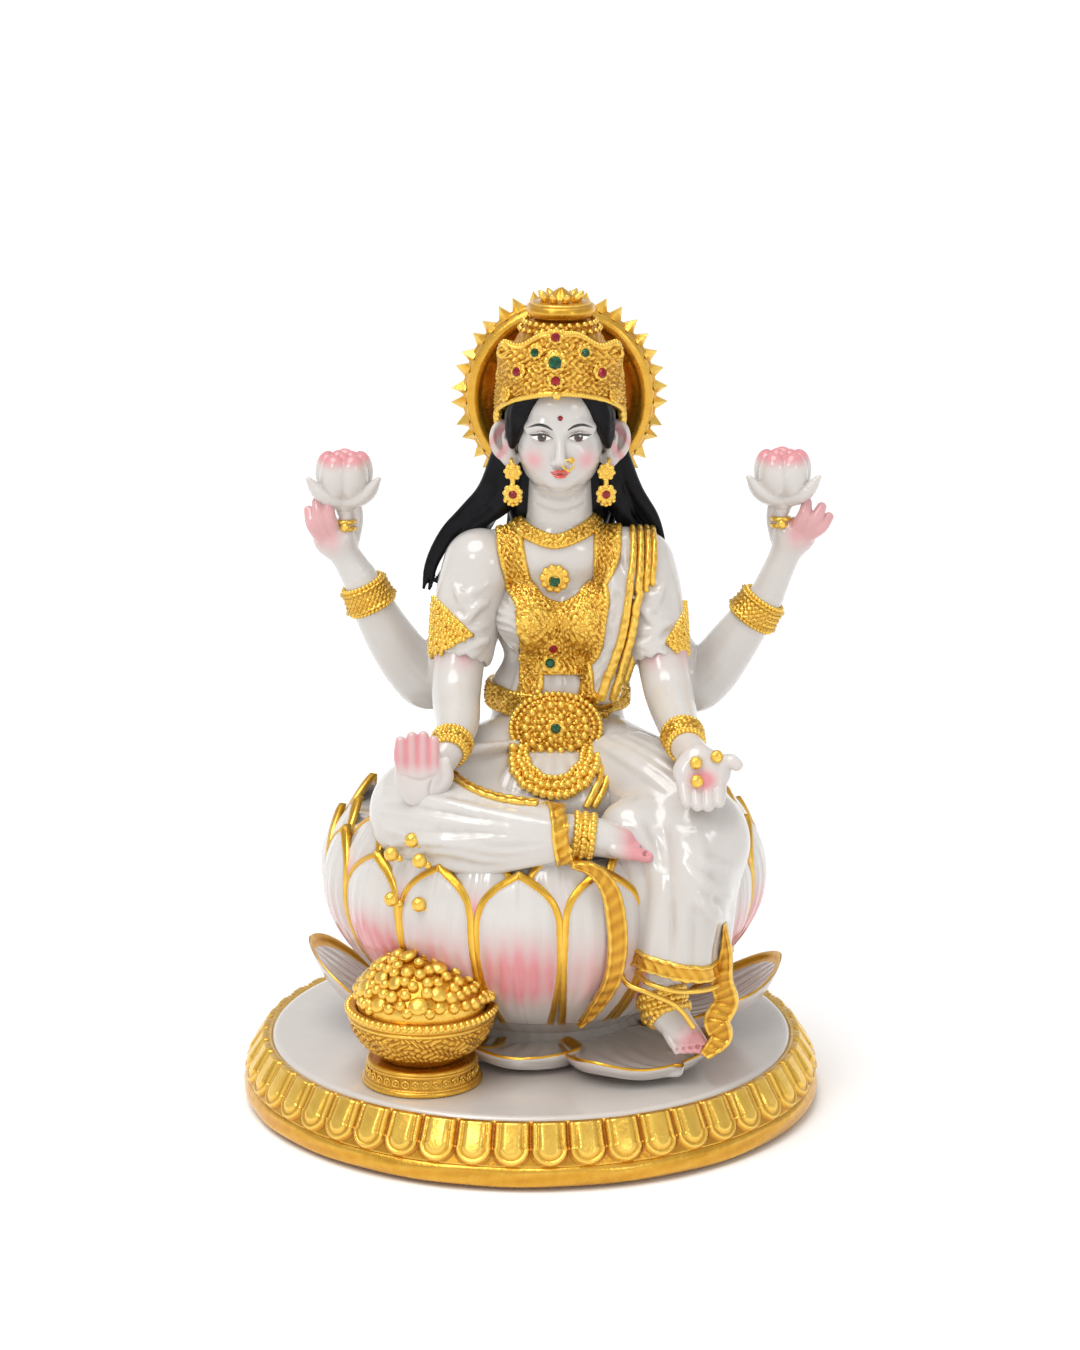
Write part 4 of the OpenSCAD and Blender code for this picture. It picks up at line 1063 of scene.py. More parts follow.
def hand_clay(wrist, palm, along, normal, thumb_side, lengths, curl, width=4.1, thumb=(28, 12), spread=5, k=1.0):
    """A hand with its palm's face along normal. thumb_side is +1 if the thumb is along normal x along."""
    along, normal = unit(V(*along)), V(*normal)
    normal = unit(normal - (normal @ along) * along)
    across = np.cross(normal, along) * thumb_side
    reach = 17.0 * k
    c = Clay(palm - reach, palm + reach, 0.32)
    c.put(chain([wrist, lerp(wrist, palm, 0.6)], (3.7 * k ** 0.5, 3.3 * k)), 1)
    m = np.stack([across, normal, along], 1)
    for dx, dz, r in ((0, 0, (width, 2.0, 4.8)), (0.6, -2.0, (3.3, 2.2, 3.4)), (2.2, -1.4, (2.2, 2.3, 3.2)),
                      (-2.4, -1.2, (1.8, 2.1, 3.4))):
        c.put(turned(palm + k * (dx * across + dz * along), k * V(*r), m), 1.6)
    for i, (length, bend) in enumerate(zip(lengths, curl)):
        x = width * (0.80 - 0.535 * i)
        lean = math.radians(spread * (1.5 - i))
        d = unit(math.cos(lean) * along + math.sin(lean) * across)
        finger(c, palm + k * (x * across + 3.6 * along + 0.1 * normal), d, normal, k * length, k * (1.34 - 0.07 * (i == 3)), bend)
    c.cut(ell(palm + k * (1.9 * normal + 0.3 * across), k * V(1.9, 1.1, 2.4)), 1.0)
    a, b = math.radians(thumb[0]), math.radians(thumb[1])
    d1 = unit(math.cos(a) * across + math.sin(a) * along + 0.25 * normal)
    d2 = unit(math.sin(b + 0.9) * along + math.cos(b + 0.9) * across + 0.1 * normal)
    p0 = palm + k * (2.4 * across - 1.8 * along)
    p1 = p0 + 4.0 * k * d1
    c.put(chain([p0, p1, p1 + 2.4 * k * d2, p1 + 4.4 * k * d2], k * V(2.0, 1.55, 1.45, 1.0), 9), 0.8)
    return c


def turned(centre, r, m):
    """An ellipsoid whose axes are the columns of m."""
    r = V(*r)
    reach = np.abs(m) @ r

    def f(x, y, z):
        x, y, z = x - centre[0], y - centre[1], z - centre[2]
        q = [(m[0, i] * x + m[1, i] * y + m[2, i] * z) / r[i] for i in range(3)]
        k0 = np.sqrt(q[0] ** 2 + q[1] ** 2 + q[2] ** 2)
        k1 = np.sqrt((q[0] / r[0]) ** 2 + (q[1] / r[1]) ** 2 + (q[2] / r[2]) ** 2)
        return k0 * (k0 - 1) / np.maximum(k1, 1e-6)
    return centre - reach, centre + reach, f


def hip_clay():
    c = Clay(P(-20, -32, 68), P(34, 30, 96), 0.45)
    c.put(ell(P(6, 11, 82), Q((20.5, 15.5, 14))))
    c.put(ell(P(6, -6, 79.5), Q((21, 19, 10))), 5)
    c.put(ell(P(6.4, 4, 90), Q((17.4, 13, 9))), 4)
    for i in range(9):                        # pleats that fan from the belt into the lap
        t = (i - 4) / 4
        c.fold(Q([(7 + 6 * t, -4, 92), (7.4 + 11 * t, -13, 88.5), (7.8 + 17 * t, -22, 83 - abs(t))]), 1.15, 1.3, 0.25, 12)
    for i in range(10):                       # folds over the seat at the back
        t = (i - 4.5) / 4.5
        c.fold(Q([(6 + 15 * t, 22, 91), (6 + 20 * t, 25, 84), (6 + 24 * t, 24, 76)]), 1.1, 1.4, 0.3, 10)
    return c


def right_leg_clay():
    c = Clay(P(-43, -54, 64), P(16, 20, 96), 0.45)
    c.put(chain(Q([(-3, 2, 83), (-16, -9, 81), (-26, -19, 78.5)]), Q((13, 12.5, 12)), 9))
    c.put(chain(Q([(-26.5, -21, 77), (-19, -30, 77), (-9, -35.5, 77), (5, -39.5, 77.5), (9, -39.3, 77.5)]),
                Q((12, 11, 9.3, 7.2, 7.0)), 16), 2)
    c.put(ell(P(-6, -22, 75), Q((22, 15, 8))), 4)
    for i in range(8):                        # folds that run down the shin to the hem
        z = 86.5 - 2.3 * i
        bow = 1.6 * math.sin(1.7 * i)
        c.fold(Q([(-33 + 0.8 * i, -24 - 0.6 * i, z - 3), (-20, -38, z - 1 + bow), (-6, -43.5, z - 1.5), (6, -46, 77 + (z - 77) * 0.6)]),
               1.25, 1.2, 0.25, 18)
    for i in range(6):                        # folds across the thigh towards the knee
        c.fold(Q([(2 - 2 * i, -9 - 2 * i, 94), (-12 - 2 * i, -16 - i, 92), (-27 - i, -22 + 2 * i, 89)]), 1.1, 1.3, 0.3, 12)
    for i in range(5):                        # short gathers at the knee's side
        c.fold(Q([(-38, -16 + 3 * i, 74), (-36, -14 + 3 * i, 82), (-29, -10 + 3 * i, 88)]), 1.0, 1.2, 0.3, 9)
    c.trim(lambda x, y, z: (x - 8.6) + 0.18 * (z - 78) - 0.25 * np.sin(z * 1.1) + 0 * y)
    return c


def left_leg_clay():
    c = Clay(P(10, -56, 37), P(60, 16, 97), 0.5)
    c.put(chain(Q([(16, 2, 83), (30, -15, 80.5), (40.5, -29.5, 75)]), Q((13, 12.3, 11)), 10))
    c.put(chain(Q([(39.6, -32, 74), (37.6, -38, 63), (35.6, -39.5, 52), (35, -39, 43)]), Q((10.6, 9.6, 9.0, 9.4)), 12), 3)
    c.put(chain(Q([(24, -31, 76), (26.5, -36, 62), (28.5, -37, 43)]), Q((8, 7, 6.2)), 9), 5)
    c.put(chain(Q([(43.4, -28, 70), (42.2, -31, 56), (40.8, -32.5, 43)]), Q((7.4, 6.6, 6.4)), 9), 5)
    for i in range(8):                        # long folds that swing from the knee across to the hem
        t = i / 7
        rows = [(25 + 15 * t, -45, 83 - 3 * t), (27 + 17 * t, -50, 70), (26 + 20 * t + math.sin(3 * i), -50, 57), (23 + 24 * t, -49, 42)]
        c.fold(Q(rows), 1.5 + 0.4 * math.sin(2 * i), 1.7, 0.3, 20)
    for i in range(3):                        # drag lines round the outside of the shin
        z = 78 - 6.4 * i
        c.fold(Q([(36 + i, -50, z + 2), (42, -47, z - 4), (50, -38, z - 10)]), 1.3, 1.4, 0.4, 14)
    for i in range(5):                        # folds along the thigh
        c.fold(Q([(14 + 3 * i, -10, 94), (22 + 3.5 * i, -20, 91.5), (32 + 3 * i, -31 + i, 87)]), 1.05, 1.3, 0.3, 12)
    c.trim(lambda x, y, z: (43.2 + 0.15 * (46 - x) - z) + 0.4 * np.sin(0.55 * x + 0.4) + 0 * y)
    return c


# ---------------------------------------------------------------- reliefs for gold work
def cord_edges(t, w, size=0.45, inset=0.45):
    return size * (np.exp(-((np.abs(t) - (w - inset)) / 0.28) ** 2))


def bead_row(s, t, pitch, r, centre=0.0):
    x = (s / pitch % 1 - 0.5) * pitch
    return np.sqrt(np.maximum(r * r - x * x - (t - centre) ** 2, 0))


def filigree(s, t, w, phase=0.0):
    """Small flowers in a row between beaded edges."""
    pitch = 2 * w * 0.9
    x, y = (s / pitch % 1 - 0.5) * pitch, t
    r = np.hypot(x, y)
    a = np.arctan2(y, x) + phase
    lobes = 0.55 + 0.45 * np.cos(5 * a)
    flower = 0.55 * np.exp(-((r - 0.45 * w) / (0.22 * w)) ** 2) * lobes + 0.75 * np.exp(-(r / (0.20 * w)) ** 2)
    edge = bead_row(s, t, 0.95, 0.46, w - 0.5) + bead_row(s, t, 0.95, 0.46, -(w - 0.5))
    seeds = bead_row(s + pitch / 2, t, pitch, 0.5, 0.42 * w) + bead_row(s + pitch / 2, t, pitch, 0.5, -0.42 * w)
    return 0.35 + flower + edge + 0.8 * seeds


def plain_band(s, t, w):
    return 0.45 + cord_edges(t, w) + 0.12 * np.sin(s * 2.2 + t * 1.7)


def beaded_band(s, t, w):
    return 0.35 + bead_row(s, t, 1.0, 0.47, w - 0.5) + bead_row(s, t, 1.0, 0.47, -(w - 0.5)) + bead_row(s, t, 1.35, 0.55)


def lattice(s, t, w):
    """Crossed lines with a bead in each diamond."""
    g = 0.4 * np.maximum(np.cos((s + t) * 2.4) ** 8, np.cos((s - t) * 2.4) ** 8)
    return 0.4 + g + cord_edges(t, w, 0.5) + 0.45 * (np.cos(s * 2.4) * np.cos(t * 2.4)) ** 6


def scatter(bits, clay, centre, u, v, inside, step, r, rng, out=0.2):
    """Packs beads over a patch of clay: centre + a u + b v for each (a, b) that inside() accepts."""
    row = 0
    points = []
    for b in np.arange(-14, 14, step * 0.87):
        row += 1
        for a in np.arange(-14, 14, step):
            x, y = a + (row % 2) * step / 2 + 0.2 * (rng.random() - 0.5), b + 0.2 * (rng.random() - 0.5)
            if inside(x, y):
                points.append(centre + x * u + y * v)
    p = clay.cling(np.array(points), out)
    rr = r * (0.8 + 0.4 * rng.random(len(p)))
    bits.balls(p, rr, n=8, relief=0.5)
    return bits


def flower(bits, c, n, size, petals=8, relief=0.5):
    """A small round medallion of petals, centred at c and facing n."""
    n = unit(n)
    u = unit(np.cross(n, V(0.1, 0.2, 1)))
    v = np.cross(n, u)
    bits.balls([c], size * 0.95, (n, 0.35), 18, relief=0.0)
    for i in range(petals):
        a = 2 * math.pi * i / petals
        bits.balls([c + size * 0.78 * (math.cos(a) * u + math.sin(a) * v) + 0.15 * n], size * 0.30, (n, 0.8), 10, relief=relief)
    for i in range(petals * 2):
        a = 2 * math.pi * (i + 0.5) / (petals * 2)
        bits.balls([c + size * 0.48 * (math.cos(a) * u + math.sin(a) * v) + size * 0.3 * n], size * 0.11, n=8, relief=relief)
    w = np.arange(24) / 24 * 2 * np.pi
    ring = c + size * 0.42 * (np.cos(w)[:, None] * u + np.sin(w)[:, None] * v) + size * 0.32 * n
    bits.tube(ring, size * 0.09, 8, True, relief=relief)
    return bits


def pink_near(centre, r0, r1, amount=1.0):
    return lambda v: amount * (1 - smooth(np.linalg.norm(v - centre, axis=1), r0, r1))


# ---------------------------------------------------------------- body, drapery and limbs
def body():
    torso = torso_clay()
    sleeves = {s: sleeve_clay(s) for s in (-1, 1)}
    hips, right_leg, left_leg = hip_clay(), right_leg_clay(), left_leg_clay()
    low_cut = P(0, 0, 90)[2]
    torso.trim(lambda x, y, z: low_cut - z + 0 * x + 0 * y)
    cast("torso_cast", torso, WHITE, ["torso"], lambda v, n: {"blush": 0 * v[:, 0]}, 1)
    for s, word in ((-1, "right"), (1, "left")):
        cast(word + "_sleeve_cast", sleeves[s], WHITE, [word + "_sleeve"], lambda v, n: {"blush": 0 * v[:, 0]}, 1)
    cast("hip_drape_cast", hips, WHITE, ["hip_drape"], lambda v, n: {"blush": 0 * v[:, 0]}, 1)
    cast("right_leg_drape_cast", right_leg, WHITE, ["right_leg_drape"], lambda v, n: {"blush": 0 * v[:, 0]}, 1)
    cast("left_leg_drape_cast", left_leg, WHITE, ["left_leg_drape"], lambda v, n: {"blush": 0 * v[:, 0]}, 1)

    arms = {}
    for s, word in ((-1, "right"), (1, "left")):
        arm = arms["front", s] = front_arm(s)
        top = P(0, 0, 113)[2]
        cast("front_%s_arm_cast" % word, arm, WHITE, ["front_%s_arm" % word],
             lambda v, n: {"blush": 0.75 * smooth(v[:, 2], top - 7.5, top) * (0.7 + 0.3 * np.sin(v[:, 0] * 0.7))},
             slot="blushed_resin")
        arm = arms["rear", s] = rear_arm(s)
        cast("rear_%s_arm_cast" % word, arm, WHITE, ["rear_%s_arm" % word], lambda v, n: {"blush": 0 * v[:, 0]},
             slot="blushed_resin")
    return torso, sleeves, hips, right_leg, left_leg, arms


def hands():
    """The four hands: one raised palm, one giving, and two that hold a bud between thumb and finger."""
    fr = Clay(P(-37, -42, 79), P(-13, -22, 106), 0.3)
    fr.put(chain([FR_WRIST, P(-22.6, -30.6, 91)], (3.8, 3.6)), 1)
    fr.put(ell(P(-26.0, -32.9, 90.2), Q((6.2, 3.0, 7.2))), 1.5)
    fr.put(ell(P(-25.4, -32.6, 85.8), Q((4.4, 2.8, 3.4))), 2)
    for x, top in ((-30.7, 99.3), (-28.0, 100.4), (-25.3, 100.6), (-22.8, 99.4)):
        fr.put(chain(Q([(x + 0.6, -33.6, 91), (x, -34.3, 95.5), (x + 0.1, -34.8, top)]), Q((1.5, 1.6, 1.25)), 8), 0.75)
    fr.put(chain(Q([(-22, -33, 86.5), (-19.8, -33.8, 90), (-20.0, -34.6, 94.4)]), Q((2.1, 1.7, 1.2)), 8), 0.8)
    for rows in ([(-30.8, -36, 91.2), (-26, -37, 90.2), (-22, -36, 91.4)], [(-22.6, -36, 91), (-23.6, -37, 88), (-23.4, -36, 85)]):
        fr.fold(Q(rows), 0.32, 0.4, 0.3, 9, -1)
    base = P(0, 0, 92.4)[2]
    cast("front_right_hand_cast", fr, WHITE, ["front_right_hand"], lambda v, n: {
        "blush": 0.76 * smooth(v[:, 2], base - 3.0, base + 2.5) * (0.82 + 0.18 * np.cos((v[:, 0] - P(-26.6, 0, 0)[0]) * 2.4)) * smooth(-n[:, 1], -0.3, 0.4) * (1 - smooth(v[:, 0], P(-21.9, 0, 0)[0], P(-21, 0, 0)[0]))
        + 0.25 * smooth(-n[:, 1], 0.2, 0.9)}, slot="blushed_resin")

    fl = Clay(P(29, -51, 77), P(55, -26, 105), 0.3)
    fl.put(chain([FL_WRIST, P(39, -35, 95.2)], (3.9, 3.8)), 1)
    across, normal, along = V(1, 0, 0), unit(V(0, -0.88, 0.47)), unit(V(0.02, -0.47, -0.88))
    m = np.stack([across, normal, along], 1)
    palm = P(40.2, -38.2, 92.8)
    fl.put(turned(palm, Q((6.9, 2.9, 5.6)), m), 1.5)
    for i, reach in enumerate((7.4, 8.2, 8.3, 7.4)):
        p = palm + (2.75 * i - 4.3) * SIZE * across + 2.6 * along
        tip = palm + (2.5 * i - 3.8) * SIZE * across + reach * SIZE * along + 0.9 * normal
        fl.put(chain([p, lerp(p, tip, 0.6) - 0.2 * normal, tip], Q((1.8, 1.8, 1.5)), 8), 0.35)
    fl.put(chain(Q([(44.0, -37.4, 93.5), (46.6, -39, 95.6), (48.3, -40, 95.0)]), Q((2.4, 1.9, 1.5)), 8), 0.9)
    fl.cut(turned(palm + 3.1 * normal + 0.4 * along, Q((3.6, 1.1, 2.6)), m), 1.2)
    cast("front_left_hand_cast", fl, WHITE, ["front_left_hand"], lambda v, n: {
        "blush": 0.85 * (1 - smooth(np.hypot((v[:, 0] - palm[0]) * 0.7, v[:, 2] - palm[2] + 1.2), 0.8, 3.8)) * smooth(-n[:, 1], 0, 0.5)
        + 0.2}, slot="blushed_resin")

    for word, wrist, ring, out, tips, inner in (
            ("right", (-42, 15, 127), (-45.1, 14, 140.2), -1, ((-54.0, 13, 144.0), (-52.0, 12.4, 146.2), (-49.2, 12.4, 147.0)), (-42.6, 14.5, 146.4)),
            ("left", (57.8, 15, 122.5), (60.9, 14, 141.0), 1, ((72.4, 13, 142.4), (70.6, 12.4, 145.0), (67.0, 12.4, 146.2)), (59.2, 14.5, 146.6))):
        wrist, ring, inner = P(*wrist), P(*ring), P(*inner)
        base = ring + Q((out * (2.0 if out < 0 else 2.6), 0.4, -4.6))
        c = Clay(np.minimum(wrist, ring) - 13, np.maximum(wrist, ring) + 14, 0.3)
        c.put(chain([wrist, lerp(wrist, base, 0.6), base], Q((4.2, 3.7, 4.2)), 9), 1)
        c.put(ell(base + Q((out * 0.8, -0.2, 1.2)), Q((5.2, 3.2, 4.6))), 1.5)
        c.put(chain([base + Q((-out * 1.8, -1, 2)), ring, ring + Q((0, 0.4, 7.0))], Q((2.2, 1.85, 1.6)), 9), 0.6)
        c.put(chain([base + Q((-out * 3.0, 1.6, 0)), lerp(base, inner, 0.5) + Q((-out * 2.2, 1.4, 0)), inner], Q((2.2, 1.8, 1.3)), 9), 0.5)
        for i, tip in enumerate(tips):
            p = base + Q((out * (3.4 - 1.3 * i), -1.4, 1.4 + 0.6 * i))
            tip = P(*tip)
            c.put(chain([p, lerp(p, tip, 0.55) + Q((out * 0.5, -1.3, 0)), tip], Q((2.0, 1.75, 1.25)), 9), 0.3)
        cast("rear_%s_hand_cast" % word, c, WHITE, ["rear_%s_hand" % word], lambda v, n: {
            "blush": 0.62 * smooth(v[:, 2], base[2] - 5, base[2] + 3) * smooth((v[:, 0] - ring[0]) * out, -1, 3.5) + 0.22
            * smooth(v[:, 2], base[2] - 6, base[2])}, slot="blushed_resin")
    return fl


def foot_clay(lo, hi, ankle, rows, radii, toe, step, direction, up, heel=None, side=1):
    c = Clay(lo, hi, 0.32)
    c.put(chain(Q(rows), Q(radii), 16, flat=(up, 1.25)))
    if heel is not None:
        c.put(ell(P(*heel), Q((4.6, 4.6, 4.4))), 3)
    d, st = unit(V(*direction)), V(*step)
    for i in range(5):
        length = 4.6 - 0.55 * i + (0.7 if i == 0 else 0)
        r = (1.75, 1.35, 1.25, 1.15, 1.05)[i]
        p = P(*toe) + i * st
        mid_point = p + d * length * 0.55 + 0.35 * V(*up)
        c.put(chain([p - 2.5 * d, p, mid_point, p + d * length], (r * 0.9, r, r * 0.92, r * 0.85), 8), 0.7)
        c.cut(ell(p + d * (length + 0.1) + V(*up) * r * 0.75, (r * 0.6, r * 0.6, r * 0.35)), 0.25)
    return c


def feet():
    right = foot_clay(P(0, -50, 64), P(34, -28, 88), None,
                      [(2, -39, 78.2), (9, -39, 78), (15, -38.6, 77), (20.5, -38.4, 75.6)], (5.0, 4.9, 4.9, 4.3),
                      (22.2, -42.2, 74.2), (0.25, 1.65, 0.75), (0.97, 0.06, -0.22), (-0.15, -0.55, 0.8))
    tip = P(27, -38, 74)
    cast("right_foot_cast", right, WHITE, ["right_foot"],
         lambda v, n: {"blush": 0.95 * smooth(v[:, 0], tip[0] - 10, tip[0] - 2.5)}, slot="blushed_resin")
    left = foot_clay(P(22, -54, 20), P(48, -22, 50), None,
                     [(31, -34.5, 45), (31.2, -35, 38), (32.6, -36.6, 33), (35.6, -39.8, 29.4)], (5.3, 5.0, 5.0, 4.0),
                     (38.9, -39.6, 28.6), (-1.35, -0.85, -0.35), (0.48, -0.58, -0.66), (0.1, -0.62, 0.78), (30.6, -31.8, 32.4))
    tip = P(39.5, -43, 26)
    cast("left_foot_cast", left, WHITE, ["left_foot"],
         lambda v, n: {"blush": 0.9 * (1 - smooth(np.linalg.norm(v - tip, axis=1), 2.5, 9))}, slot="blushed_resin")
    return right, left


# ---------------------------------------------------------------- gold borders and jewellery on the limbs
def loop_around(centre, axis, r, n=48):
    axis = unit(axis)
    u = unit(np.cross(axis, V(0.3, 0.9, 0.2)))
    v = np.cross(axis, u)
    a = np.arange(n) / n * 2 * np.pi
    return centre + r * (np.cos(a)[:, None] * u + np.sin(a)[:, None] * v)


def ring_paths(clay, centre, axis, r, offsets):
    axis = unit(axis)
    return [clay.cling(loop_around(centre + o * axis, axis, r), 0.25) for o in offsets]


def cuff(name, node_name, clay, centre, axis, width, r, pattern, beads=2):
    """A broad bangle that follows the limb, with bead strings beside it."""
    bits = Bits()
    path = loop_around(centre, axis, r)
    ribbon(bits, clay, path, width, pattern, 0.26, True, -0.6, 0.45, None)
    for k in range(beads):
        for side in (-1, 1):
            o = side * (width / 2 + 0.35 + 0.8 * k)
            ring = even(clay.cling(loop_around(centre + o * unit(axis), axis, r), 0.5), 1.0, True)
            bits.balls(ring, 0.62, n=8, relief=0.5)
    gather(name, bits, GOLD, [node_name])


def strip(bits, rows, half, facing):
    """A free strip of border: a raised, faintly rippled band along rows, with the given half widths."""
    n = 110
    p = spline(np.column_stack([np.array(rows, float), half]), n) * SIZE
    w, p = p[:, 3][:, None], p[:, :3]
    f = unit(V(*facing))
    across = unit(np.cross(f, unit(np.gradient(p, axis=0))))
    t = np.linspace(-1, 1, 17)[None]
    edge = cord_edges(t * w, w, 0.4)
    h = 0.7 + 0.5 * (1 - t ** 2) + edge + 0.15 * np.sin(1.1 * np.arange(n)[:, None] * 0.8 + 2 * t)
    g = p[:, None] + (t * w)[:, :, None] * across[:, None]
    return bits.plate(g + h[:, :, None] * f, g - 0.9 * f, relief=edge)


def limb_gold(arms, right_leg, left_leg, right_foot, left_foot):
    d = FR_PALM - FR_WRIST
    cuff("front_right_bangle_cast", "front_right_bangle", arms["front", -1], lerp(P(-17.6, -16, 98.5), FR_WRIST, 0.9),
         FR_WRIST - P(-17.6, -16, 98.5), 2.6, 4.5, beaded_band)
    cuff("front_left_bangle_cast", "front_left_bangle", arms["front", 1], lerp(P(34.8, -16, 99.6), FL_WRIST, 0.8),
         FL_WRIST - P(34.8, -16, 99.6), 5.0, 5.0, filigree, 1)
    for s, word, elbow, wrist in ((-1, "right", P(-36, 16, 114), P(-42, 15, 127)), (1, "left", P(51, 16, 112), P(57.8, 15, 122.5))):
        cuff("rear_%s_bangle_cast" % word, "rear_%s_bangle" % word, arms["rear", s], lerp(elbow, wrist, 0.66), wrist - elbow,
             5.6, 5.2, lattice, 1)
    bits = Bits()
    for c in (P(-45.1, 14, 140.2), P(60.9, 14, 141.0)):
        for o in (-0.85, 0.85):
            bits.tube(loop_around(c + V(0, 0, o), V(0, 0.1, 1), 2.15, 40), 0.6, 8, True, relief=0.4)
        bits.balls([c + V(0, -2.5, 0)], 1.25, n=12, relief=0.6)
    gather("finger_rings_cast", bits, GOLD, ["finger_rings"])

    bits = Bits()
    hem = [(25, -44, 48.6), (34, -50, 47.0), (43, -45, 45.7), (49, -34, 45.2), (44, -24, 45.6), (33, -24, 47), (22, -32, 49)]
    ribbon(bits, left_leg, spline(Q(hem), 90, True), 4.4, plain_band, 0.3, True, -0.5, 0.1, (0, 0, 1))
    strip(bits, [(45.8, -41, 56.5), (46.2, -41, 49), (45.4, -41.3, 42), (46.4, -41.5, 37), (44.2, -42.5, 32.5), (45.2, -43, 28.5), (41.4, -44, 24.4)],
          (0.4, 1.5, 2.6, 2.9, 3.1, 2.6, 1.4), (-0.2, -0.95, 0.2))
    strip(bits, [(9.5, -49, 73.4), (14.6, -49.6, 72.2), (18.4, -49.8, 67.5), (20.0, -49.6, 60), (20.3, -49, 52), (18.9, -46.6, 43.5), (15.2, -42, 35.4),
                 (11.5, -38, 29.5)], (0.8, 1.7, 2.2, 2.4, 2.3, 2.0, 1.6, 0.7), (0.2, -0.97, 0.05))
    for rows in ([(24.6, -38, 44.4), (27.5, -45, 43.0), (35, -47.5, 41.6), (43, -44.5, 41.4), (46.4, -38, 42)],
                 [(21, -41, 46), (22.6, -44, 42.5), (28, -46, 40.6), (34.5, -46.5, 37.5), (38.6, -46, 32)]):
        bits.tube(spline(Q(rows), 60), 0.7, 10, relief=0.4)
    gather("left_hem_border_cast", bits, GOLD, ["left_hem_border"])

    bits = Bits()
    hem = [(5.6, -32, 86), (6.2, -39, 86), (7.0, -45.5, 82), (7.6, -47.5, 77), (8.2, -45, 71)]
    ribbon(bits, right_leg, spline(Q(hem), 60), 4.6, plain_band, 0.3, False, -0.5, 0.15, (1, 0, -0.2))
    gather("right_hem_border_cast", bits, GOLD, ["right_hem_border"])

    for name, clay, centre, axis, r in (("right_anklet", right_foot, P(12.4, -38.8, 77.6), V(1, 0.02, -0.15), 5.2),
                                        ("left_anklet", left_foot, P(32.0, -36.0, 35.2), V(0.25, -0.35, -0.9), 5.4)):
        bits = Bits()
        for path in ring_paths(clay, centre, axis, r, (-1.1, 1.1)):
            bits.tube(even(path, 0.6, True), 0.5, 8, True, relief=0.3)
        for path in ring_paths(clay, centre, axis, r, (-2.0, 0.0, 2.0)):
            bits.balls(even(path, 1.5, True), 0.95, n=10, relief=0.6)
        if name == "left_anklet":
            for path in ring_paths(clay, centre + V(1.0, -1.5, -3.2), V(0.4, -0.55, -0.6), 5.0, (0.0,)):
                bits.balls(even(path, 1.25, True), 0.75, n=10, relief=0.5)
        gather(name + "_cast", bits, GOLD, [name])


# ---------------------------------------------------------------- lotus buds in the raised hands
def buds():
    """A closed bud: five folded petals round a cup, above two pairs of thick spreading leaves."""
    for word in ("right", "left"):
        lo, hi = low(word + "_lotus_bud"), high(word + "_lotus_bud")
        c = (lo + hi) / 2
        c[2] = hi[2] - 6.9 * SIZE
        clay = Clay(c - V(12, 11, 11), c + V(12, 11, 9), 0.26)
        clay.put(ell(c + Q((0, 0, -0.4)), Q((5.6, 5.4, 5.6))))
        clay.put(chain([c + Q((0, -0.5, -8)), c + Q((0, 0, -4))], Q((2.0, 3.4))), 1)
        for i in range(5):
            a = math.radians(72 * i - 54)
            d = V(math.cos(a), math.sin(a), 0)
            l = math.radians(4)
            axis = V(d[0] * math.sin(l), d[1] * math.sin(l), math.cos(l))
            side = np.cross(V(0, 0, 1), d)
            m = np.stack([side, np.cross(axis, side), axis], 1)
            clay.put(turned(c + 3.8 * SIZE * d + V(0, 0, 0.9), Q((3.9, 3.4, 5.6)), m), 0.1)
        clay.cut(ell(c + Q((0, 0, 7.2)), Q((4.0, 3.8, 2.4))), 0.5)
        for i in range(3):
            a = math.radians(120 * i + 20)
            clay.put(ell(c + Q((1.9 * math.cos(a), 1.9 * math.sin(a), 3.4)), Q((2.3, 2.3, 3.3))), 0.15)
        for a, tall in ((-28, 1.0), (208, 1.0), (60, 0.6), (120, 0.6)):
            a = math.radians(a)
            d = V(math.cos(a), math.sin(a), 0)
            rows = [c + V(0, 0, -5.6) * SIZE, c + (5.4 * d + V(0, 0, -3.9)) * SIZE, c + (9.3 * d + V(0, 0, 0.4 * tall)) * SIZE]
            clay.put(chain(rows, Q((3.3, 3.1, 1.1)), 12, flat=(tuple(unit(V(-d[0], -d[1], 1.6))), 1.5)), 0.4)
        top = hi[2]
        cast(word + "_lotus_bud_cast", clay, GILDED, [word + "_lotus_bud"], lambda v, n: {
            "blush": 0.85 * smooth(v[:, 2], top - 5.0, top - 1.2) + 0.12, "gilt": -9 + 0 * v[:, 0]}, 1)


# ---------------------------------------------------------------- scrollwork on the sleeves
def sleeve_leaves(sleeves):
    bits = Bits()
    for s, corners in ((-1, [(-23.4, -2, 126), (-24.2, -2, 111), (-14.4, -2, 116.5)]), (1, [(38.6, -2, 125), (39.6, -2, 108.4), (32.6, -2, 114.5)])):
        a, b, c = (V(*q) for q in corners)
        rows = []
        for i in range(26):
            for j in range(26 - i):
                u, v = (i + 0.5 * (j % 2)) / 26, j / 26
                if u + v <= 1 and (u + v) ** 2 + 0.0 <= 1:
                    rows.append(a + u * (b - a) + v * (c - a) + 0.0 * c)
        rows = np.array(rows)
        p = sleeves[s].strike(rows, 0.0)
        bits.balls(p[::2], 0.72, n=8, relief=0.1)
        q = sleeves[s].strike(rows[::5], 0.55)
        bits.balls(q, 0.62, n=8, relief=0.7)
        edge = np.vstack([even(V(*x).reshape(-1, 3), 0.9) for x in ([*a, *b], [*b, *c], [*c, *a])])
        bits.balls(sleeves[s].strike(edge, 0.45), 0.6, n=8, relief=0.6)
    gather("sleeve_filigree_cast", bits, GOLD, ["sleeve_filigree"])


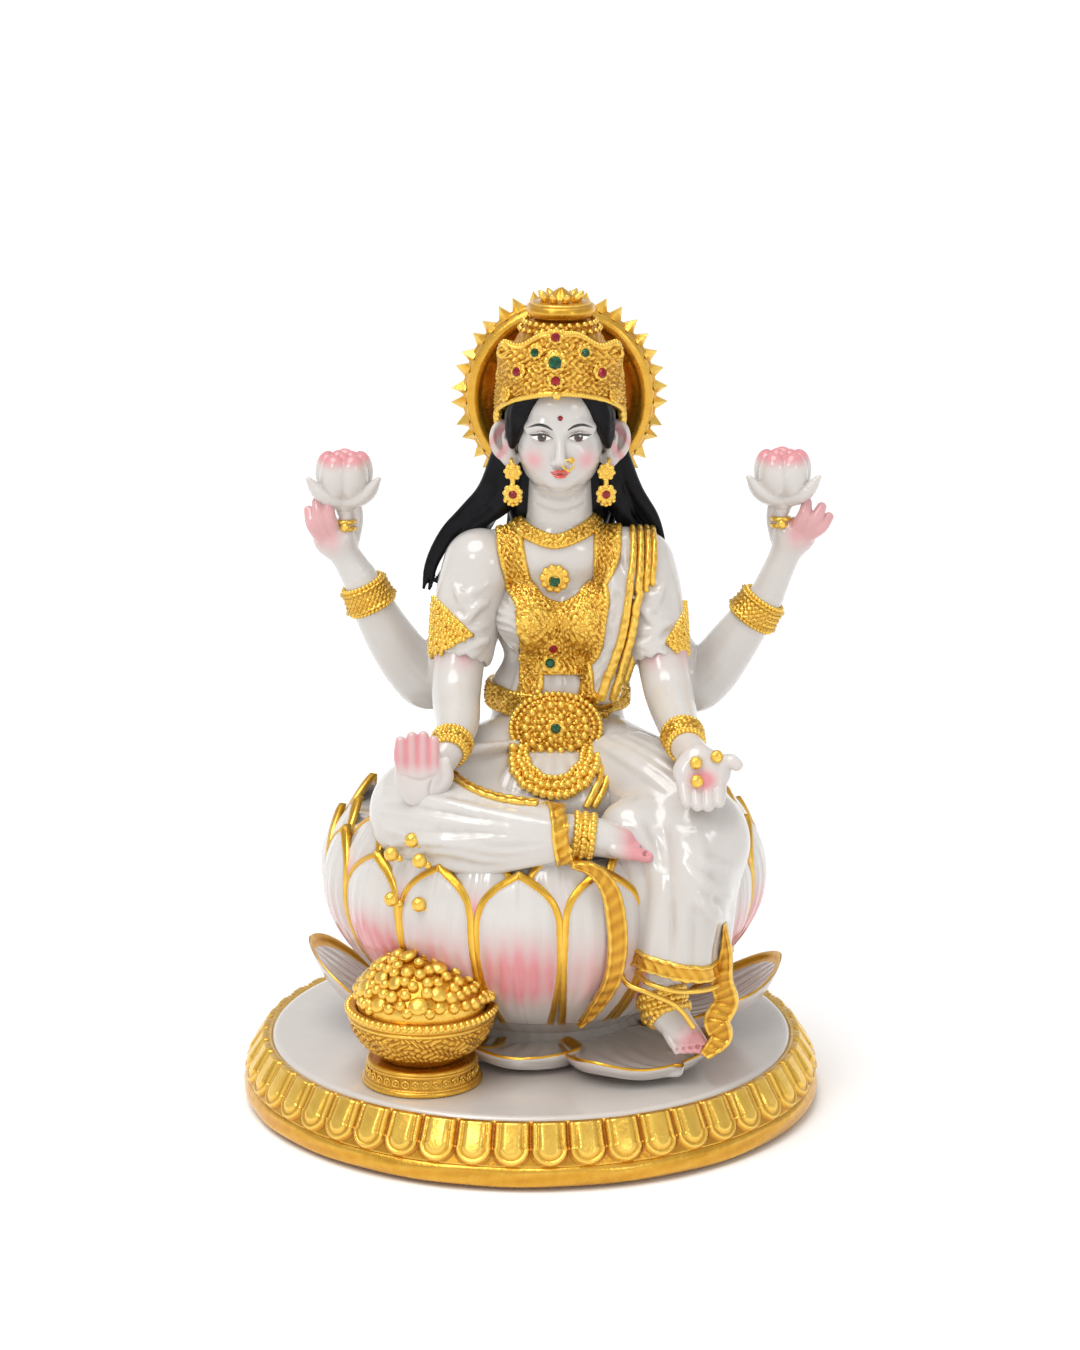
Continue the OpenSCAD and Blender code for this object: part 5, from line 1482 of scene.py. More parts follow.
# ---------------------------------------------------------------- head and face
FACE_X = 7 * SIZE
EYE_Z, BROW_Z, NOSE_Z, MOUTH_Z, CHIN_Z = (z * SIZE for z in (166.3, 168.3, 160.6, 157.9, 153.0))
EYE_X, EYE_HALF = 4.35 * SIZE, 2.5 * SIZE


def stroke(a, z, rows, half, n=26):
    """How far inside a painted line each point (a, z) is; the line runs through rows, half as wide as given."""
    q = spline(np.column_stack([np.array(rows, float), half]), n) * SIZE
    best = np.full(len(a), 9.0)
    for (x0, z0, h0), (x1, z1, h1) in zip(q[:-1], q[1:]):
        dx, dz = x1 - x0, z1 - z0
        t = np.clip(((a - x0) * dx + (z - z0) * dz) / (dx * dx + dz * dz), 0, 1)
        best = np.minimum(best, np.hypot(a - x0 - t * dx, z - z0 - t * dz) - (h0 + t * (h1 - h0)))
    return -best


def face_paint(v, n):
    """Signed distances of the painted features, and the pink of cheeks, ears and neck."""
    front = np.where((v[:, 1] < -1.5) & (n[:, 1] < -0.15), 0.0, -9.0)
    x, z = v[:, 0] - FACE_X, v[:, 2]
    a = np.abs(x)
    e = (a - EYE_X) / EYE_HALF
    upper, lower = EYE_Z + 1.12 * (1 - e ** 2) - 0.12, EYE_Z - 0.78 * (1 - e ** 2) - 0.12
    white = np.minimum(upper - z, z - lower)
    iris = np.minimum(1.08 - np.hypot(a - EYE_X, z - EYE_Z - 0.12), white)
    pupil = 0.5 - np.hypot(a - EYE_X, z - EYE_Z - 0.12)
    # glint is a painted highlight in each eye
    glint = 0.24 - np.hypot(a - EYE_X - 0.38 * np.sign(x), z - EYE_Z - 0.5)
    ez, bz, mz = EYE_Z / SIZE, BROW_Z / SIZE, MOUTH_Z / SIZE
    lash = stroke(a, z, [(1.75, ez - 0.2), (2.9, ez + 0.62), (4.4, ez + 1.05), (5.9, ez + 0.68), (7.6, ez + 0.35)],
                  (0.10, 0.20, 0.26, 0.26, 0.07))
    under = stroke(a, z, [(2.0, ez - 0.3), (4.3, ez - 0.9), (6.7, ez - 0.15)], (0.05, 0.10, 0.08))
    crease = stroke(a, z, [(2.3, ez + 1.2), (4.4, ez + 1.75), (6.7, ez + 1.15)], (0.03, 0.07, 0.03))
    brow = stroke(a, z, [(1.9, bz + 0.1), (3.4, bz + 1.0), (5.4, bz + 1.25), (8.0, bz + 0.1)], (0.16, 0.34, 0.32, 0.07))
    lip = np.maximum(stroke(a, z, [(0, mz + 0.42), (0.85, mz + 0.60), (2.55, mz + 0.10)], (0.34, 0.32, 0.05)),
                     stroke(a, z, [(0, mz - 0.62), (1.1, mz - 0.52), (2.4, mz + 0.02)], (0.46, 0.40, 0.05)))
    seam = stroke(a, z, [(0, mz - 0.02), (1.2, mz + 0.0), (2.6, mz + 0.1)], (0.07, 0.07, 0.04))
    cheek = np.exp(-(np.hypot(a - 6.3 * SIZE, z - 160.8 * SIZE) / 3.1) ** 2)
    chin = 0.22 * np.exp(-(np.hypot(a, z - CHIN_Z - 1) / 1.8) ** 2)
    lid = 0.30 * np.exp(-(np.hypot(a - EYE_X, (z - EYE_Z - 1.3) * 1.4) / 2.2) ** 2)
    ear = smooth(a, 11.0 * SIZE, 12.6 * SIZE) * (0.55 + 0.3 * np.sin(1.1 * z + 1.4 * a))
    return {"blush": np.clip((0.85 * cheek + chin + lid) * (front > -1) + ear, 0, 1),
            "ink": front + np.maximum.reduce([np.minimum(pupil, white), lash, under, brow, crease - 0.02]),
            "white": front + white, "iris": front + iris, "glint": front + np.minimum(glint, white + 0.1),
            "lip": front + lip, "seam": front + seam}


def makeup(t, tone):
    # the near-white glint colour is a painted highlight
    for name, colour in (("white", (0.90, 0.88, 0.86)), ("iris", (0.085, 0.035, 0.015)), ("lip", (0.72, 0.085, 0.065)),
                         ("seam", (0.30, 0.02, 0.02)), ("ink", (0.006, 0.005, 0.005)), ("glint", (0.95, 0.95, 0.95))):
        tone = blend(t, spread(t, attribute(t, name), -0.07, 0.07), tone, colour)
    return tone


FACE = resin("painted_face", blush=True, paint=makeup)


def head():
    c = Clay(P(-15, -13, 134), P(29, 20, 185), 0.27)
    c.put(ell(P(7, 6.4, 170.5), Q((11.3, 12.2, 12.5))))
    c.put(ell(P(7, 1.4, 163.5), Q((10.2, 9.2, 11.2))), 3)
    c.put(ell(P(7, -0.2, 158.4), Q((7.6, 7.2, 5.8))), 3.5)
    c.put(ell(P(7, -5.3, 155.2), Q((2.7, 2.2, 2.1))), 2)
    c.put(ell(P(7, -1.2, 172), Q((8.8, 6.8, 6.5))), 3)
    c.put(chain(Q([(7, 9, 136), (7, 8, 145), (7, 6.4, 154)]), Q((9.6, 7.9, 7.4))), 2.2)
    for s in (-1, 1):
        def at(dx, y, z):
            return P(7 + dx * s, y, z)
        c.put(ell(at(5.1, -3.6, 160.9), Q((3.3, 3.0, 2.9))), 2.5)
        c.put(chain(Q([(7 + 2 * s, -7.0, 168.4), (7 + 4.6 * s, -6.8, 169.2), (7 + 7.4 * s, -4.6, 168.2)]), Q((1.2, 1.3, 1.0)), 7), 1.8)
        c.cut(ell(at(4.35, -9.0, 166.3), Q((3.0, 1.9, 1.7))), 1.5)
        c.put(ell(at(4.35, -6.15, 166.2), Q((2.55, 1.5, 1.28))), 0.35)
        c.put(chain(Q([(7 + 1.9 * s, -7.3, 166.1), (7 + 4.35 * s, -7.85, 167.4), (7 + 6.9 * s, -6.3, 166.6)]), Q((0.3, 0.42, 0.3)), 9), 0.4)
        c.put(ell(at(1.45, -8.9, 160.5), Q((1.0, 1.15, 0.85))), 0.6)
        c.cut(ell(at(0.85, -9.6, 159.85), Q((0.5, 0.6, 0.4))), 0.3)
        c.put(ell(at(0.85, -8.35, 158.45), Q((1.25, 0.85, 0.48))), 0.45)
        c.cut(ell(at(3.1, -8.1, 157.9), Q((0.5, 0.5, 0.5))), 0.7)
        m = turn_matrix((0, 14 * s, -24 * s))
        c.put(turned(at(13.2, 3.6, 163.4), Q((4.0, 1.5, 5.4)), m), 1.0)
        c.cut(turned(at(13.6, 2.2, 164.2), Q((2.2, 1.3, 3.3)), m), 0.6)
        c.put(chain([at(11.8, 2.6, 166.6), at(13.4, 2.4, 165.2), at(13.2, 2.4, 161.6)], Q((0.7, 0.6, 0.6)), 9), 0.4)
        c.put(turned(at(12.0, 2.2, 162.3), Q((1.1, 1.0, 1.9)), m), 0.6)
        c.put(ell(at(11.8, 2.6, 158.9), Q((2.1, 1.6, 2.0))), 1.0)
    c.put(chain(Q([(7, -7.2, 167.6), (7, -8.7, 164.2), (7, -10.0, 161.3)]), Q((0.95, 1.0, 1.3)), 9), 1.0)
    c.put(ell(P(7, -8.55, 157.1), Q((1.7, 0.75, 0.5))), 0.5)
    c.cut(chain(Q([(4.5, -8.3, 157.95), (7, -9.3, 157.85), (9.5, -8.3, 157.95)]), Q((0.10, 0.14, 0.10)), 7), 0.25)
    c.cut(chain(Q([(7, -9.2, 160.0), (7, -8.9, 159.0)]), Q((0.25, 0.3))), 0.5)
    for dz in (0, 3.2):
        c.fold(Q([(2, 3, 148.2 + dz), (7, 1, 146.8 + dz), (12, 3, 148.2 + dz)]), 0.35, 0.6, 0.2, 9, -1)
    cast("head_cast", c, FACE, ["head"], face_paint, 2)
    return c


def hair():
    c = Clay(P(-27, -9, 112), P(35, 24, 186), 0.36)
    c.put(ell(P(7, 9.0, 170), Q((12.7, 11.6, 14.5))))
    c.put(ell(P(7, 14, 150), Q((13, 6.5, 22))), 4)
    rng = np.random.default_rng(5)
    for s, far in ((-1, (-30, 12.5, 126.5)), (1, (23.6, 11.5, 135.5))):
        c.put(chain(Q([(7 + 6.8 * s, -5.0, 177), (7 + 9.6 * s, -3.0, 172), (7 + 10.8 * s, -1.2, 167), (7 + 11.4 * s, 0, 163)]), Q((2.4, 3.2, 2.4, 1.0)), 12), 1.2)
        for i in range(4):
            c.fold(Q([(7 + (6.2 + i) * s, -7 + i, 178), (7 + (9 + 0.9 * i) * s, -4.5 + i, 172), (7 + (10.6 + 0.5 * i) * s, -2 + i, 165.5)]),
                   0.55, 0.6, 0.2, 9)
        for i in range(9):
            f = i / 8
            dx = 1.5 * math.sin(2.6 * i)
            end = (7 + (far[0] if s < 0 else far[0]) * (1 - 0.30 * f), far[1] + 2.5 * f, far[2] + 5.0 * f)
            rows = [(7 + (9 + 2.4 * f) * s, 6 + 5 * f, 176), (7 + (12.4 + 1.2 * f) * s, 8.0 + 4 * f, 164),
                    (7 + (13.0 + 0.5 * dx) * s, 9.5 + 3 * f, 154), (7 + (14.6 - 0.8 * dx) * s, 10.2 + 3 * f, 146),
                    (lerp(7 + 14.6 * s, end[0], 0.45) + 0.7 * dx * s, 11 + 3 * f, 139.5 + 2 * f), end]
            c.put(chain(Q(rows), Q((2.0, 2.3, 2.2, 2.0, 1.6, 0.6)), 22), 0.45)
    for rows in ([(-6.5, 9, 160), (-10.4, 10.5, 149.5), (-15.4, 12, 143), (-20.6, 12.6, 137.6), (-24.2, 12.8, 131), (-25.4, 12.6, 125)],
                 [(20.5, 9, 160), (24.2, 10.5, 150), (28.2, 11.5, 143.4), (30.2, 12, 139.5), (31.6, 12, 135.6)]):
        for k in range(4):
            shift = V(0.9 * math.cos(1.8 * k), 0.4 * k, 1.0 * math.sin(1.8 * k))
            r = np.interp(np.linspace(0, 1, len(rows)), (0, 0.4, 1), (2.0, 1.9, 0.45))
            c.put(chain(Q(np.array(rows) + shift), r * SIZE, 24), 0.4)
    for i in range(17):
        t = (i - 8) / 8
        w = rng.random()
        rows = [(7 + 9 * t, 19.5 - 6 * t * t, 176), (7 + 12.5 * t, 20 - 5 * t * t, 160), (7 + 12 * t + 1.4 * w, 20.5 - 4 * t * t, 146),
                (7 + 10.5 * t - 1.4 * w, 20.8 - 4 * t * t, 131), (7 + 8 * t, 19.8 - 3 * t * t, 117 + 5 * abs(t))]
        c.put(chain(Q(rows), Q((1.6, 1.8, 1.8, 1.7, 0.7)), 20), 0.5)
    v, q = c.skin()
    v = relax(v, q, 1)
    piece("hair_cast", v, q, BLACK, ["hair"], {"hollow": hollows(v, q)})
    return c


# ---------------------------------------------------------------- crown
CROWN = P(7, 5.2, 0)


def crown_low(a):
    return (177 - 8.0 * (1 - np.cos(np.minimum(np.abs(a), 1.75))) + 1.8 * smooth(np.abs(a), 1.7, 2.9)) * SIZE


def crown_high(a):
    b = np.abs(a)
    return (177.5 + 14.0 * np.exp(-(b / 0.88) ** 4) + 8.6 * np.exp(-((b - 1.04) / 0.26) ** 2) + 2.2 * np.exp(-((b - 1.4) / 0.3) ** 2)) * SIZE


def crown_r(a, z):
    """Radius of the crown's wall: a dome in front, standing off at the two horns."""
    k = (z / SIZE - 169) / 27
    dome = 14.9 * np.sqrt(np.maximum(1 - 0.62 * np.clip(k, 0, 1.05) ** 2.2, 0.05))
    return (dome + 2.9 * np.exp(-((np.abs(a) - 1.02) / 0.3) ** 2) * smooth(z / SIZE, 178, 187)) * SIZE


def crown_point(a, z, out=0.0):
    r = crown_r(a, z) + out
    return np.stack([CROWN[0] + r * np.sin(a), CROWN[1] - r * np.cos(a), z + 0 * r], -1)


def crown_at(x, z, out=0.0):
    """The wall's point at a given x offset from the middle and height, and its outward direction."""
    z = z * SIZE
    a = 0.0
    for _ in range(6):
        a = math.asin(max(-1, min(1, x * SIZE / float(crown_r(a, z)))))
    return crown_point(a, z, out), unit(V(math.sin(a), -math.cos(a), 0.35))


def lace(s, t):
    """Fine cast scrollwork as a height, from two lengths along the surface."""
    curl = np.sin(1.9 * s + 1.7 * np.sin(1.5 * t + 0.4 * s)) * np.sin(2.1 * t + 1.6 * np.sin(1.2 * s - 0.3 * t))
    seeds = np.maximum(np.cos(3.3 * s + 0.8 * np.sin(t)) * np.cos(3.1 * t + 0.7 * np.sin(1.3 * s)), 0)
    return 0.50 * smooth(np.abs(curl), 0.10, 0.55) + 0.45 * seeds ** 1.5


def crown():
    bits = Bits()
    n, m = int(300 / GRAIN), int(64 / GRAIN)
    a = (np.arange(n) / n * 2 * np.pi - np.pi)[:, None]
    v = np.linspace(0, 1, m)[None]
    lo, hi = crown_low(a), crown_high(a)
    z = lerp(lo, hi, v)
    rim = np.minimum(v * (hi - lo), (1 - v) * (hi - lo))
    h = 0.25 + lace(a * 14.5, z) * smooth(rim, 0.6, 1.5) + 0.75 * (1 - smooth(np.abs(rim - 0.55), 0.25, 0.6))
    back = np.abs(a) > 1.75
    h = np.where(back, 0.3 + 0.35 * (1 - smooth(np.abs(rim - 0.5), 0.3, 0.6)) + 0.25 * np.abs(np.sin(7 * a)), h)
    face, inner = crown_point(a + 0 * z, z, h), crown_point(a + 0 * z, z, -0.9)
    bits.plate(face, inner, True, relief=h - 0.2)
    for zz, count in (("low", 84), ("high", 84)):
        f = crown_low if zz == "low" else crown_high
        b = np.linspace(-1.85, 1.85, count)
        p = crown_point(b, f(b) + (0.3 if zz == "low" else -0.1), 0.55)
        bits.balls(p, 0.62 if zz == "low" else 0.55, n=8, relief=0.5)
    dome = spline(np.array([(0, 193.2), (5, 193.0), (8.0, 191.4), (10.4, 188.0), (12.6, 183), (13.6, 178)]) * SIZE, 40)

    def ripple(b, r, zz):
        return r + 0.25 * np.maximum(np.cos(26 * b) * np.cos(2.6 * zz), 0), zz
    bits.revolve(np.vstack([dome, [[0, 178 * SIZE]]])[::-1], CROWN + V(0, 0.2, 0), int(200 / GRAIN), ripple, relief=-0.15)
    for x, z, size in ((-1.0, 190.7, 2.0), (-1.1, 185.0, 2.7), (-1.0, 180.7, 2.1), (-5.4, 187.0, 1.9), (5.3, 187.0, 1.9),
                       (-9.3, 182.2, 2.1), (8.9, 182.0, 2.1), (-12.2, 176.0, 1.8), (12.0, 175.6, 1.8)):
        c, out = crown_at(x, z, 0.9)
        flower(bits, c, out, size * SIZE)
    c, out = crown_at(-0.8, 177.2, 1.3)
    bits.balls([c], 1.15 * SIZE, n=14, relief=0.6)
    for s in (-1, 1):
        w = np.linspace(0, 5.2, 30)
        r = (2.0 - 0.27 * w) * SIZE
        c = crown_point(np.array(1.02 * s), np.array(186.3 * SIZE), 0.5)
        u, side = V(0, 0, 1), V(math.cos(1.02), -math.sin(1.02) * 0 - 0.2, 0) * s
        curl = c + (r * np.cos(w))[:, None] * u - (r * np.sin(w))[:, None] * unit(side)
        bits.tube(curl, np.linspace(0.85, 0.4, 30) * SIZE, 10, relief=0.5)
        for k in range(11):
            b = s * (1.35 + 0.055 * k + 0.03 * (k % 2))
            bits.balls([crown_point(np.array(b), crown_low(np.array(b)) - (0.3 + 0.75 * k) * SIZE * (0.9 if s < 0 else 1.1), 0.3 - 0.10 * k)],
                       (1.15 - 0.04 * k) * SIZE, n=10, relief=0.5)
    for k in range(26):
        b = k / 26 * 2 * math.pi
        for ring, zz, r in ((8.6, 192.3, 0.75), (9.6, 190.6, 0.7)):
            bits.balls([CROWN + V(ring * math.cos(b + 0.1 * ring), ring * math.sin(b + 0.1 * ring), zz) * SIZE], r * SIZE, n=8,
                       relief=0.2)
    gather("crown_cast", bits, GOLD, ["crown"])

    bits = Bits()
    c = CROWN + V(0.2, 1.0, 0) * SIZE
    rows = [(0, 193.0), (6.8, 193.0), (7.9, 193.7), (8.4, 194.9), (8.0, 196.0), (6.6, 196.7), (4.6, 197.0), (3.6, 197.5),
            (2.3, 198.6), (1.0, 199.6), (0.25, 200), (0, 200)]
    bits.revolve(even(np.array(rows) * SIZE, 0.3)[::1], c, 140, lambda b, r, z: (r + 0.06 * np.sin(9 * b), z), relief=0.2)
    for k in range(9):
        b = k / 9 * 2 * math.pi + 0.1
        d = V(math.cos(b), math.sin(b), 0)
        m = np.stack([np.cross(V(0, 0, 1), d), d, V(0, 0, 1)], 1) @ turn_matrix((-38, 0, 0)).T
        leaf = np.linspace(0, 1, 9)
        base = c + 3.4 * SIZE * d + V(0, 0, 197.0 * SIZE)
        path = base + np.outer(leaf * 2.6 * SIZE, unit(d + V(0, 0, 0.75))) + np.outer(leaf ** 2 * 0.5, V(0, 0, 1))
        bits.tube(path, (0.9 * np.sin(np.pi * (0.15 + 0.8 * leaf)) + 0.12) * SIZE, 8, relief=0.4)
    bits.balls([c + V(0, 0, 199.0 * SIZE)], 0.9 * SIZE, n=12, relief=0.4)
    w = np.arange(90) / 90 * 2 * np.pi
    bits.tube(np.column_stack([c[0] + 6.9 * SIZE * np.cos(w), c[1] + 6.9 * SIZE * np.sin(w), 196.5 * SIZE + 0 * w]), 0.35, 8, True,
              relief=0.5)
    gather("crown_cap_cast", bits, GOLD, ["crown_cap"])


# ---------------------------------------------------------------- halo
HALO = mid("halo_rays")
HALO_R = (high("halo_rays") - low("halo_rays"))[0] / 2
HALO_BACK = high("halo_dish")[1]
RAYS = 36


def face_front(v, centre):
    """Turns work made about +Z so that its axis points at -Y, and moves it to centre."""
    return np.stack([centre[0] + v[:, 0], centre[1] - v[:, 2], centre[2] + v[:, 1]], 1)


def halo():
    c = V(HALO[0], HALO_BACK, HALO[2])
    k = HALO_R / 26.5
    rows = spline([(0.0, 2.2), (9, 2.3), (16, 2.7), (18.8, 3.6), (19.9, 4.6), (21.0, 5.0), (22.3, 4.5), (22.9, 3.3), (23.0, 2.0),
                   (22.6, 1.0), (21, 0.2), (14, 0.0), (0, 0)], 120) * k

    def beaten(a, r, z):
        return r + 0.0 * a, z + 0.10 * np.sin(5 * a + 0.6 * r) * smooth(r, 3, 12) * (1 - smooth(r, 17, 19))
    bits = Bits().revolve(rows[::-1], (0, 0), int(220 / GRAIN), beaten)
    v, q, _ = bits.parts()
    r = np.hypot(v[:, 0], v[:, 1]) / k
    # painted shade darkens the dish's inner face; a painted highlight brightens its raised rim
    shade = -1.15 * (1 - smooth(r, 17.5, 20.0)) * smooth(v[:, 2], 1.0, 2.0) + 0.6 * smooth(r, 19.0, 20.0)
    bits = Bits().add(face_front(v, c), q, relief=shade)
    gather("halo_dish_cast", bits, GOLD, ["halo_dish"])

    bits = Bits()
    half = math.pi / RAYS
    faces = np.array([(0, 6, 1, 1), (1, 6, 2, 2), (0, 3, 7, 6), (2, 6, 7, 4), (3, 4, 7, 7), (0, 1, 2, 2), (0, 2, 4, 3)])
    for i in range(RAYS):
        a = 2 * math.pi * (i + 0.5) / RAYS
        tip, lean = HALO_R * (0.99 + 0.01 * math.sin(5.3 * i)), 0.03 * math.sin(3.1 * i)
        rows = [(22.9 * k, -half, 1.6), (22.9 * k, lean, 4.2), (22.9 * k, half, 1.6), (22.9 * k, -half, 0.1), (22.9 * k, half, 0.1),
                (0, 0, 0), (tip, lean, 2.0), (tip, lean, 0.9)]
        p = V(*[(r * math.cos(a + b), r * math.sin(a + b), z) for r, b, z in rows]).reshape(-1, 3)
        bits.add(face_front(p[[0, 1, 2, 3, 4, 6, 6, 7]], c), faces, relief=0.1)
    w = np.arange(200) / 200 * 2 * np.pi
    ring = face_front(np.column_stack([22.5 * k * np.cos(w), 22.5 * k * np.sin(w), 1.9 + 0 * w]), c)
    # the ring round the rays' feet gets a slightly darker gold as painted shade
    bits.tube(ring, 1.1, 10, True, relief=-0.3)
    gather("halo_rays_cast", bits, GOLD, ["halo_rays"], smooth_shade=False)


# ---------------------------------------------------------------- jewellery on the body
def band_of(bits, clay, rows, width, height, n=70, **kw):
    return ribbon(bits, clay, spline(Q(rows), n), width, height, 0.3, **kw)


def grainy(s, t, w):
    """Dense cast beadwork between two beaded edges."""
    return 0.30 + lace(1.15 * s, 1.15 * t) * smooth(w - np.abs(t), 0.7, 1.1) + bead_row(s, t, 1.05, 0.5, w - 0.55) \
        + bead_row(s, t, 1.05, 0.5, -(w - 0.55))


def merged(lo, hi, step, parts, k, keep=None):
    """One clay that joins several, so that ornaments can lie across them."""
    out = Clay(lo, hi, step)
    x, y, z = out.axes
    grid = np.stack(np.meshgrid(x, y, z, indexing="ij"), -1).reshape(-1, 3)
    for part, above in parts:
        near = np.all((grid > part.lo + 0.5) & (grid < part.lo + part.h * (np.array(part.d.shape) - 1) - 0.5), axis=1)
        d = np.full(len(grid), Clay.FAR)
        d[near] = part.at(grid[near])
        if above is not None:
            d = d + 1.5 * np.maximum(above - grid[:, 2], 0)
        out.d = smin(out.d, d.reshape(out.d.shape).astype(np.float32), k)
    return out


def ornaments(torso, sleeves, hips, right_leg):
    chest = merged(P(-24, -16, 84), P(38, 25, 150), 0.5,
                   [(torso, None), (sleeves[-1], P(0, 0, 130)[2]), (sleeves[1], P(0, 0, 130)[2])], 2.5)
    for _ in range(3):                        # the ornaments bridge the small folds
        chest.d[1:-1, 1:-1, 1:-1] = (chest.d[2:, 1:-1, 1:-1] + chest.d[:-2, 1:-1, 1:-1] + chest.d[1:-1, 2:, 1:-1] + chest.d[1:-1, :-2, 1:-1]
                                     + chest.d[1:-1, 1:-1, 2:] + chest.d[1:-1, 1:-1, :-2]) / 6
    lap = merged(P(-32, -50, 66), P(36, 22, 108), 0.6, [(torso, None), (hips, None), (right_leg, None)], 1.5)

    bits = Bits()
    rows = [(-5.4, 2, 146.6), (-3.4, -2, 145.0), (-0.4, -2, 142.0), (5.8, -2, 139.7), (12.0, -2, 142.0), (15.2, -2, 145.0), (17.2, 2, 146.8)]
    ribbon(bits, chest, chest.strike(spline(np.array(rows, float), 40), 0.5), 3.8, grainy, 0.3, out=0.5)
    gather("necklace_cast", bits, GOLD, ["necklace"])

    def band(bits, clay, rows, width, height, n=44, out=0.35, **kw):
        return ribbon(bits, clay, clay.strike(spline(np.array(rows, float), n), out), width, height, 0.3, out=out, **kw)

    bits = Bits()
    band(bits, chest, [(-5.0, -6, 144.6), (-4.6, -6, 138), (-2.8, -6, 131), (-0.4, -6, 124), (0.6, -6, 116), (0.4, -6, 108), (-1.2, -6, 101.5)], lambda f: 7.4 - 1.0 * f, grainy)
    band(bits, chest, [(18.4, -6, 144.4), (18.2, -6, 138), (16.8, -6, 131), (15.2, -6, 124), (14.2, -6, 116), (13.6, -6, 108), (13.8, -6, 101.5)], lambda f: 7.4 - 1.0 * f, grainy)
    band(bits, chest, [(-2.0, -6, 130.5), (1.8, -6, 125.6), (6.8, -6, 123.4), (12.0, -6, 125.6), (15.8, -6, 130.5)], 5.0, grainy, 26)
    band(bits, chest, [(6.9, -8, 123.6), (6.9, -8, 116), (6.6, -8, 108.2)], lambda f: 18.5 - 4.5 * f,
         lambda s, t, w: 0.55 + 1.15 * lace(s, t), 30, swing=(1, 0, 0))
    for x, z, size in ((4.7, 116.6, 2.4), (4.9, 111.2, 2.6), (0.2, 120.5, 1.9), (12.6, 120.5, 1.9), (-1.4, 113.6, 1.7), (13.4, 113.0, 1.7),
                       (4.4, 121.6, 1.8), (8.9, 121.6, 1.8)):
        p = chest.strike([(x, -9, z)], 1.0)
        flower(bits, p[0], chest.normal(p)[0], size * SIZE)
    gather("garland_cast", bits, GOLD, ["garland"])

    p = chest.strike([(5.8, -3.6, 131.6)], 0.7)
    n = unit(chest.normal(p)[0] + V(0, -0.5, 0))
    bits = flower(Bits(), p[0], n, 3.5 * SIZE, 10)
    bits.balls([p[0] + 0.2 * n], 1.9 * SIZE, (n, 0.6), 16, relief=0.4)
    gather("pendant_cast", bits, GOLD, ["pendant"])

    bits = Bits()
    for o in (-2.3, -0.6, 1.1, 2.6):
        rows = [(26.6 + o, -4, 143.6), (26.8 + o, -4, 137), (25.9 + o, -4, 128), (24.6 + 1.1 * o, -4, 118), (22.6 + 1.4 * o, -4, 109), (20.8 + 1.7 * o, -4, 101.5)]
        band(bits, chest, rows, lambda f: 1.5 + 1.0 * f, lambda s, t, w: 0.25 + 0.75 * np.sqrt(np.maximum(1 - (t / w) ** 2, 0))
             + 0.08 * np.sin(2.5 * s), 40)
    gather("shoulder_sash_cast", bits, GOLD, ["shoulder_sash"])

    bits = Bits()
    a = np.arange(120) / 120 * 2 * np.pi
    waist = np.column_stack([6.5 + 19 * np.cos(a), 9 + 13 * np.sin(a), 99.8 - 0.6 * smooth(-np.sin(a), 0, 1)]) * SIZE
    ribbon(bits, chest, chest.cling(waist, 0.3), 6.8 * SIZE, grainy, 0.32, True, -0.6, 0.5, (0, 0, 1))
    p = lap.strike([(5.8, -8, 95)], 1.2)[0]
    n = unit(V(0, -1, 0.22))
    u, w = V(1, 0, 0), unit(V(0, 0.22, 1))
    r, b = np.meshgrid(np.linspace(0, 1, 40), np.arange(140) / 140 * 2 * np.pi, indexing="ij")
    x, z = 10.8 * SIZE * r * np.cos(b), 8.2 * SIZE * r * np.sin(b)
    h = 1.7 - 1.8 * r ** 2.5 + 0.9 * lace(x, z)
    face = p + x[..., None] * u + z[..., None] * w + h[..., None] * n
    bits.plate(face.transpose(1, 0, 2), (p + x[..., None] * u + z[..., None] * w - 2.2 * n).transpose(1, 0, 2), True, relief=h.T - 1.0)
    for r, count, size in ((1.0, 46, 0.78), (0.86, 40, 0.6), (0.68, 18, 1.1), (0.5, 16, 0.62), (0.36, 10, 0.9)):
        for k in range(count):
            b = 2 * math.pi * k / count
            x, z = 10.8 * SIZE * r * math.cos(b), 8.2 * SIZE * r * math.sin(b)
            bits.balls([p + x * u + z * w + (2.2 - 1.9 * r ** 2.5) * n], size * SIZE, n=8, relief=0.5)
    flower(bits, p + 2.0 * n, n, 2.5 * SIZE)
    gather("belt_cast", bits, GOLD, ["belt"])
    medal = p + 3.1 * n

    bits = Bits()
    loop = spline(np.array([(-5.0, -12, 91.5), (-4.4, -12, 86.5), (-2.0, -12, 82.4), (1.6, -12, 79.8), (5.6, -12, 79.0), (9.6, -12, 79.8), (13.2, -12, 82.4),
                            (15.6, -12, 86.5), (16.2, -12, 91.5)]), 90)
    top = loop[[0, -1]].mean(0)
    for shrink, size in ((1.0, 1.15), (0.82, 1.05), (0.66, 0.85)):
        row = lap.strike(top + (loop - top) * np.array([shrink, 1, shrink]), 0.8)
        bits.balls(even(row, 1.6 * size), size * SIZE, n=10, relief=0.5)
    path = lap.strike(top + (loop - top) * np.array([0.84, 1, 0.84]), 0.2)
    ribbon(bits, lap, path, 4.6, lambda s, t, w: 0.3 + lace(s, t), 0.33, False, -0.5, 0.2)
    for o in (-0.2, 1.7):
        band(bits, lap, [(16.0 + o, -18, 95.5), (17.2 + o, -18, 90), (16.4 + o, -18, 84.5), (13.2 + o, -18, 78.2)], 1.8,
             lambda s, t, w: 0.25 + 0.5 * np.sqrt(np.maximum(1 - (t / w) ** 2, 0)), 30)
    band(bits, lap, [(-20.4, -22, 88.4), (-15, -22, 84.6), (-7.8, -22, 81.8), (1.6, -22, 80.4)], 2.6, plain_band, 30)
    gather("belt_swag_cast", bits, GOLD, ["belt_swag"])
    return chest, medal


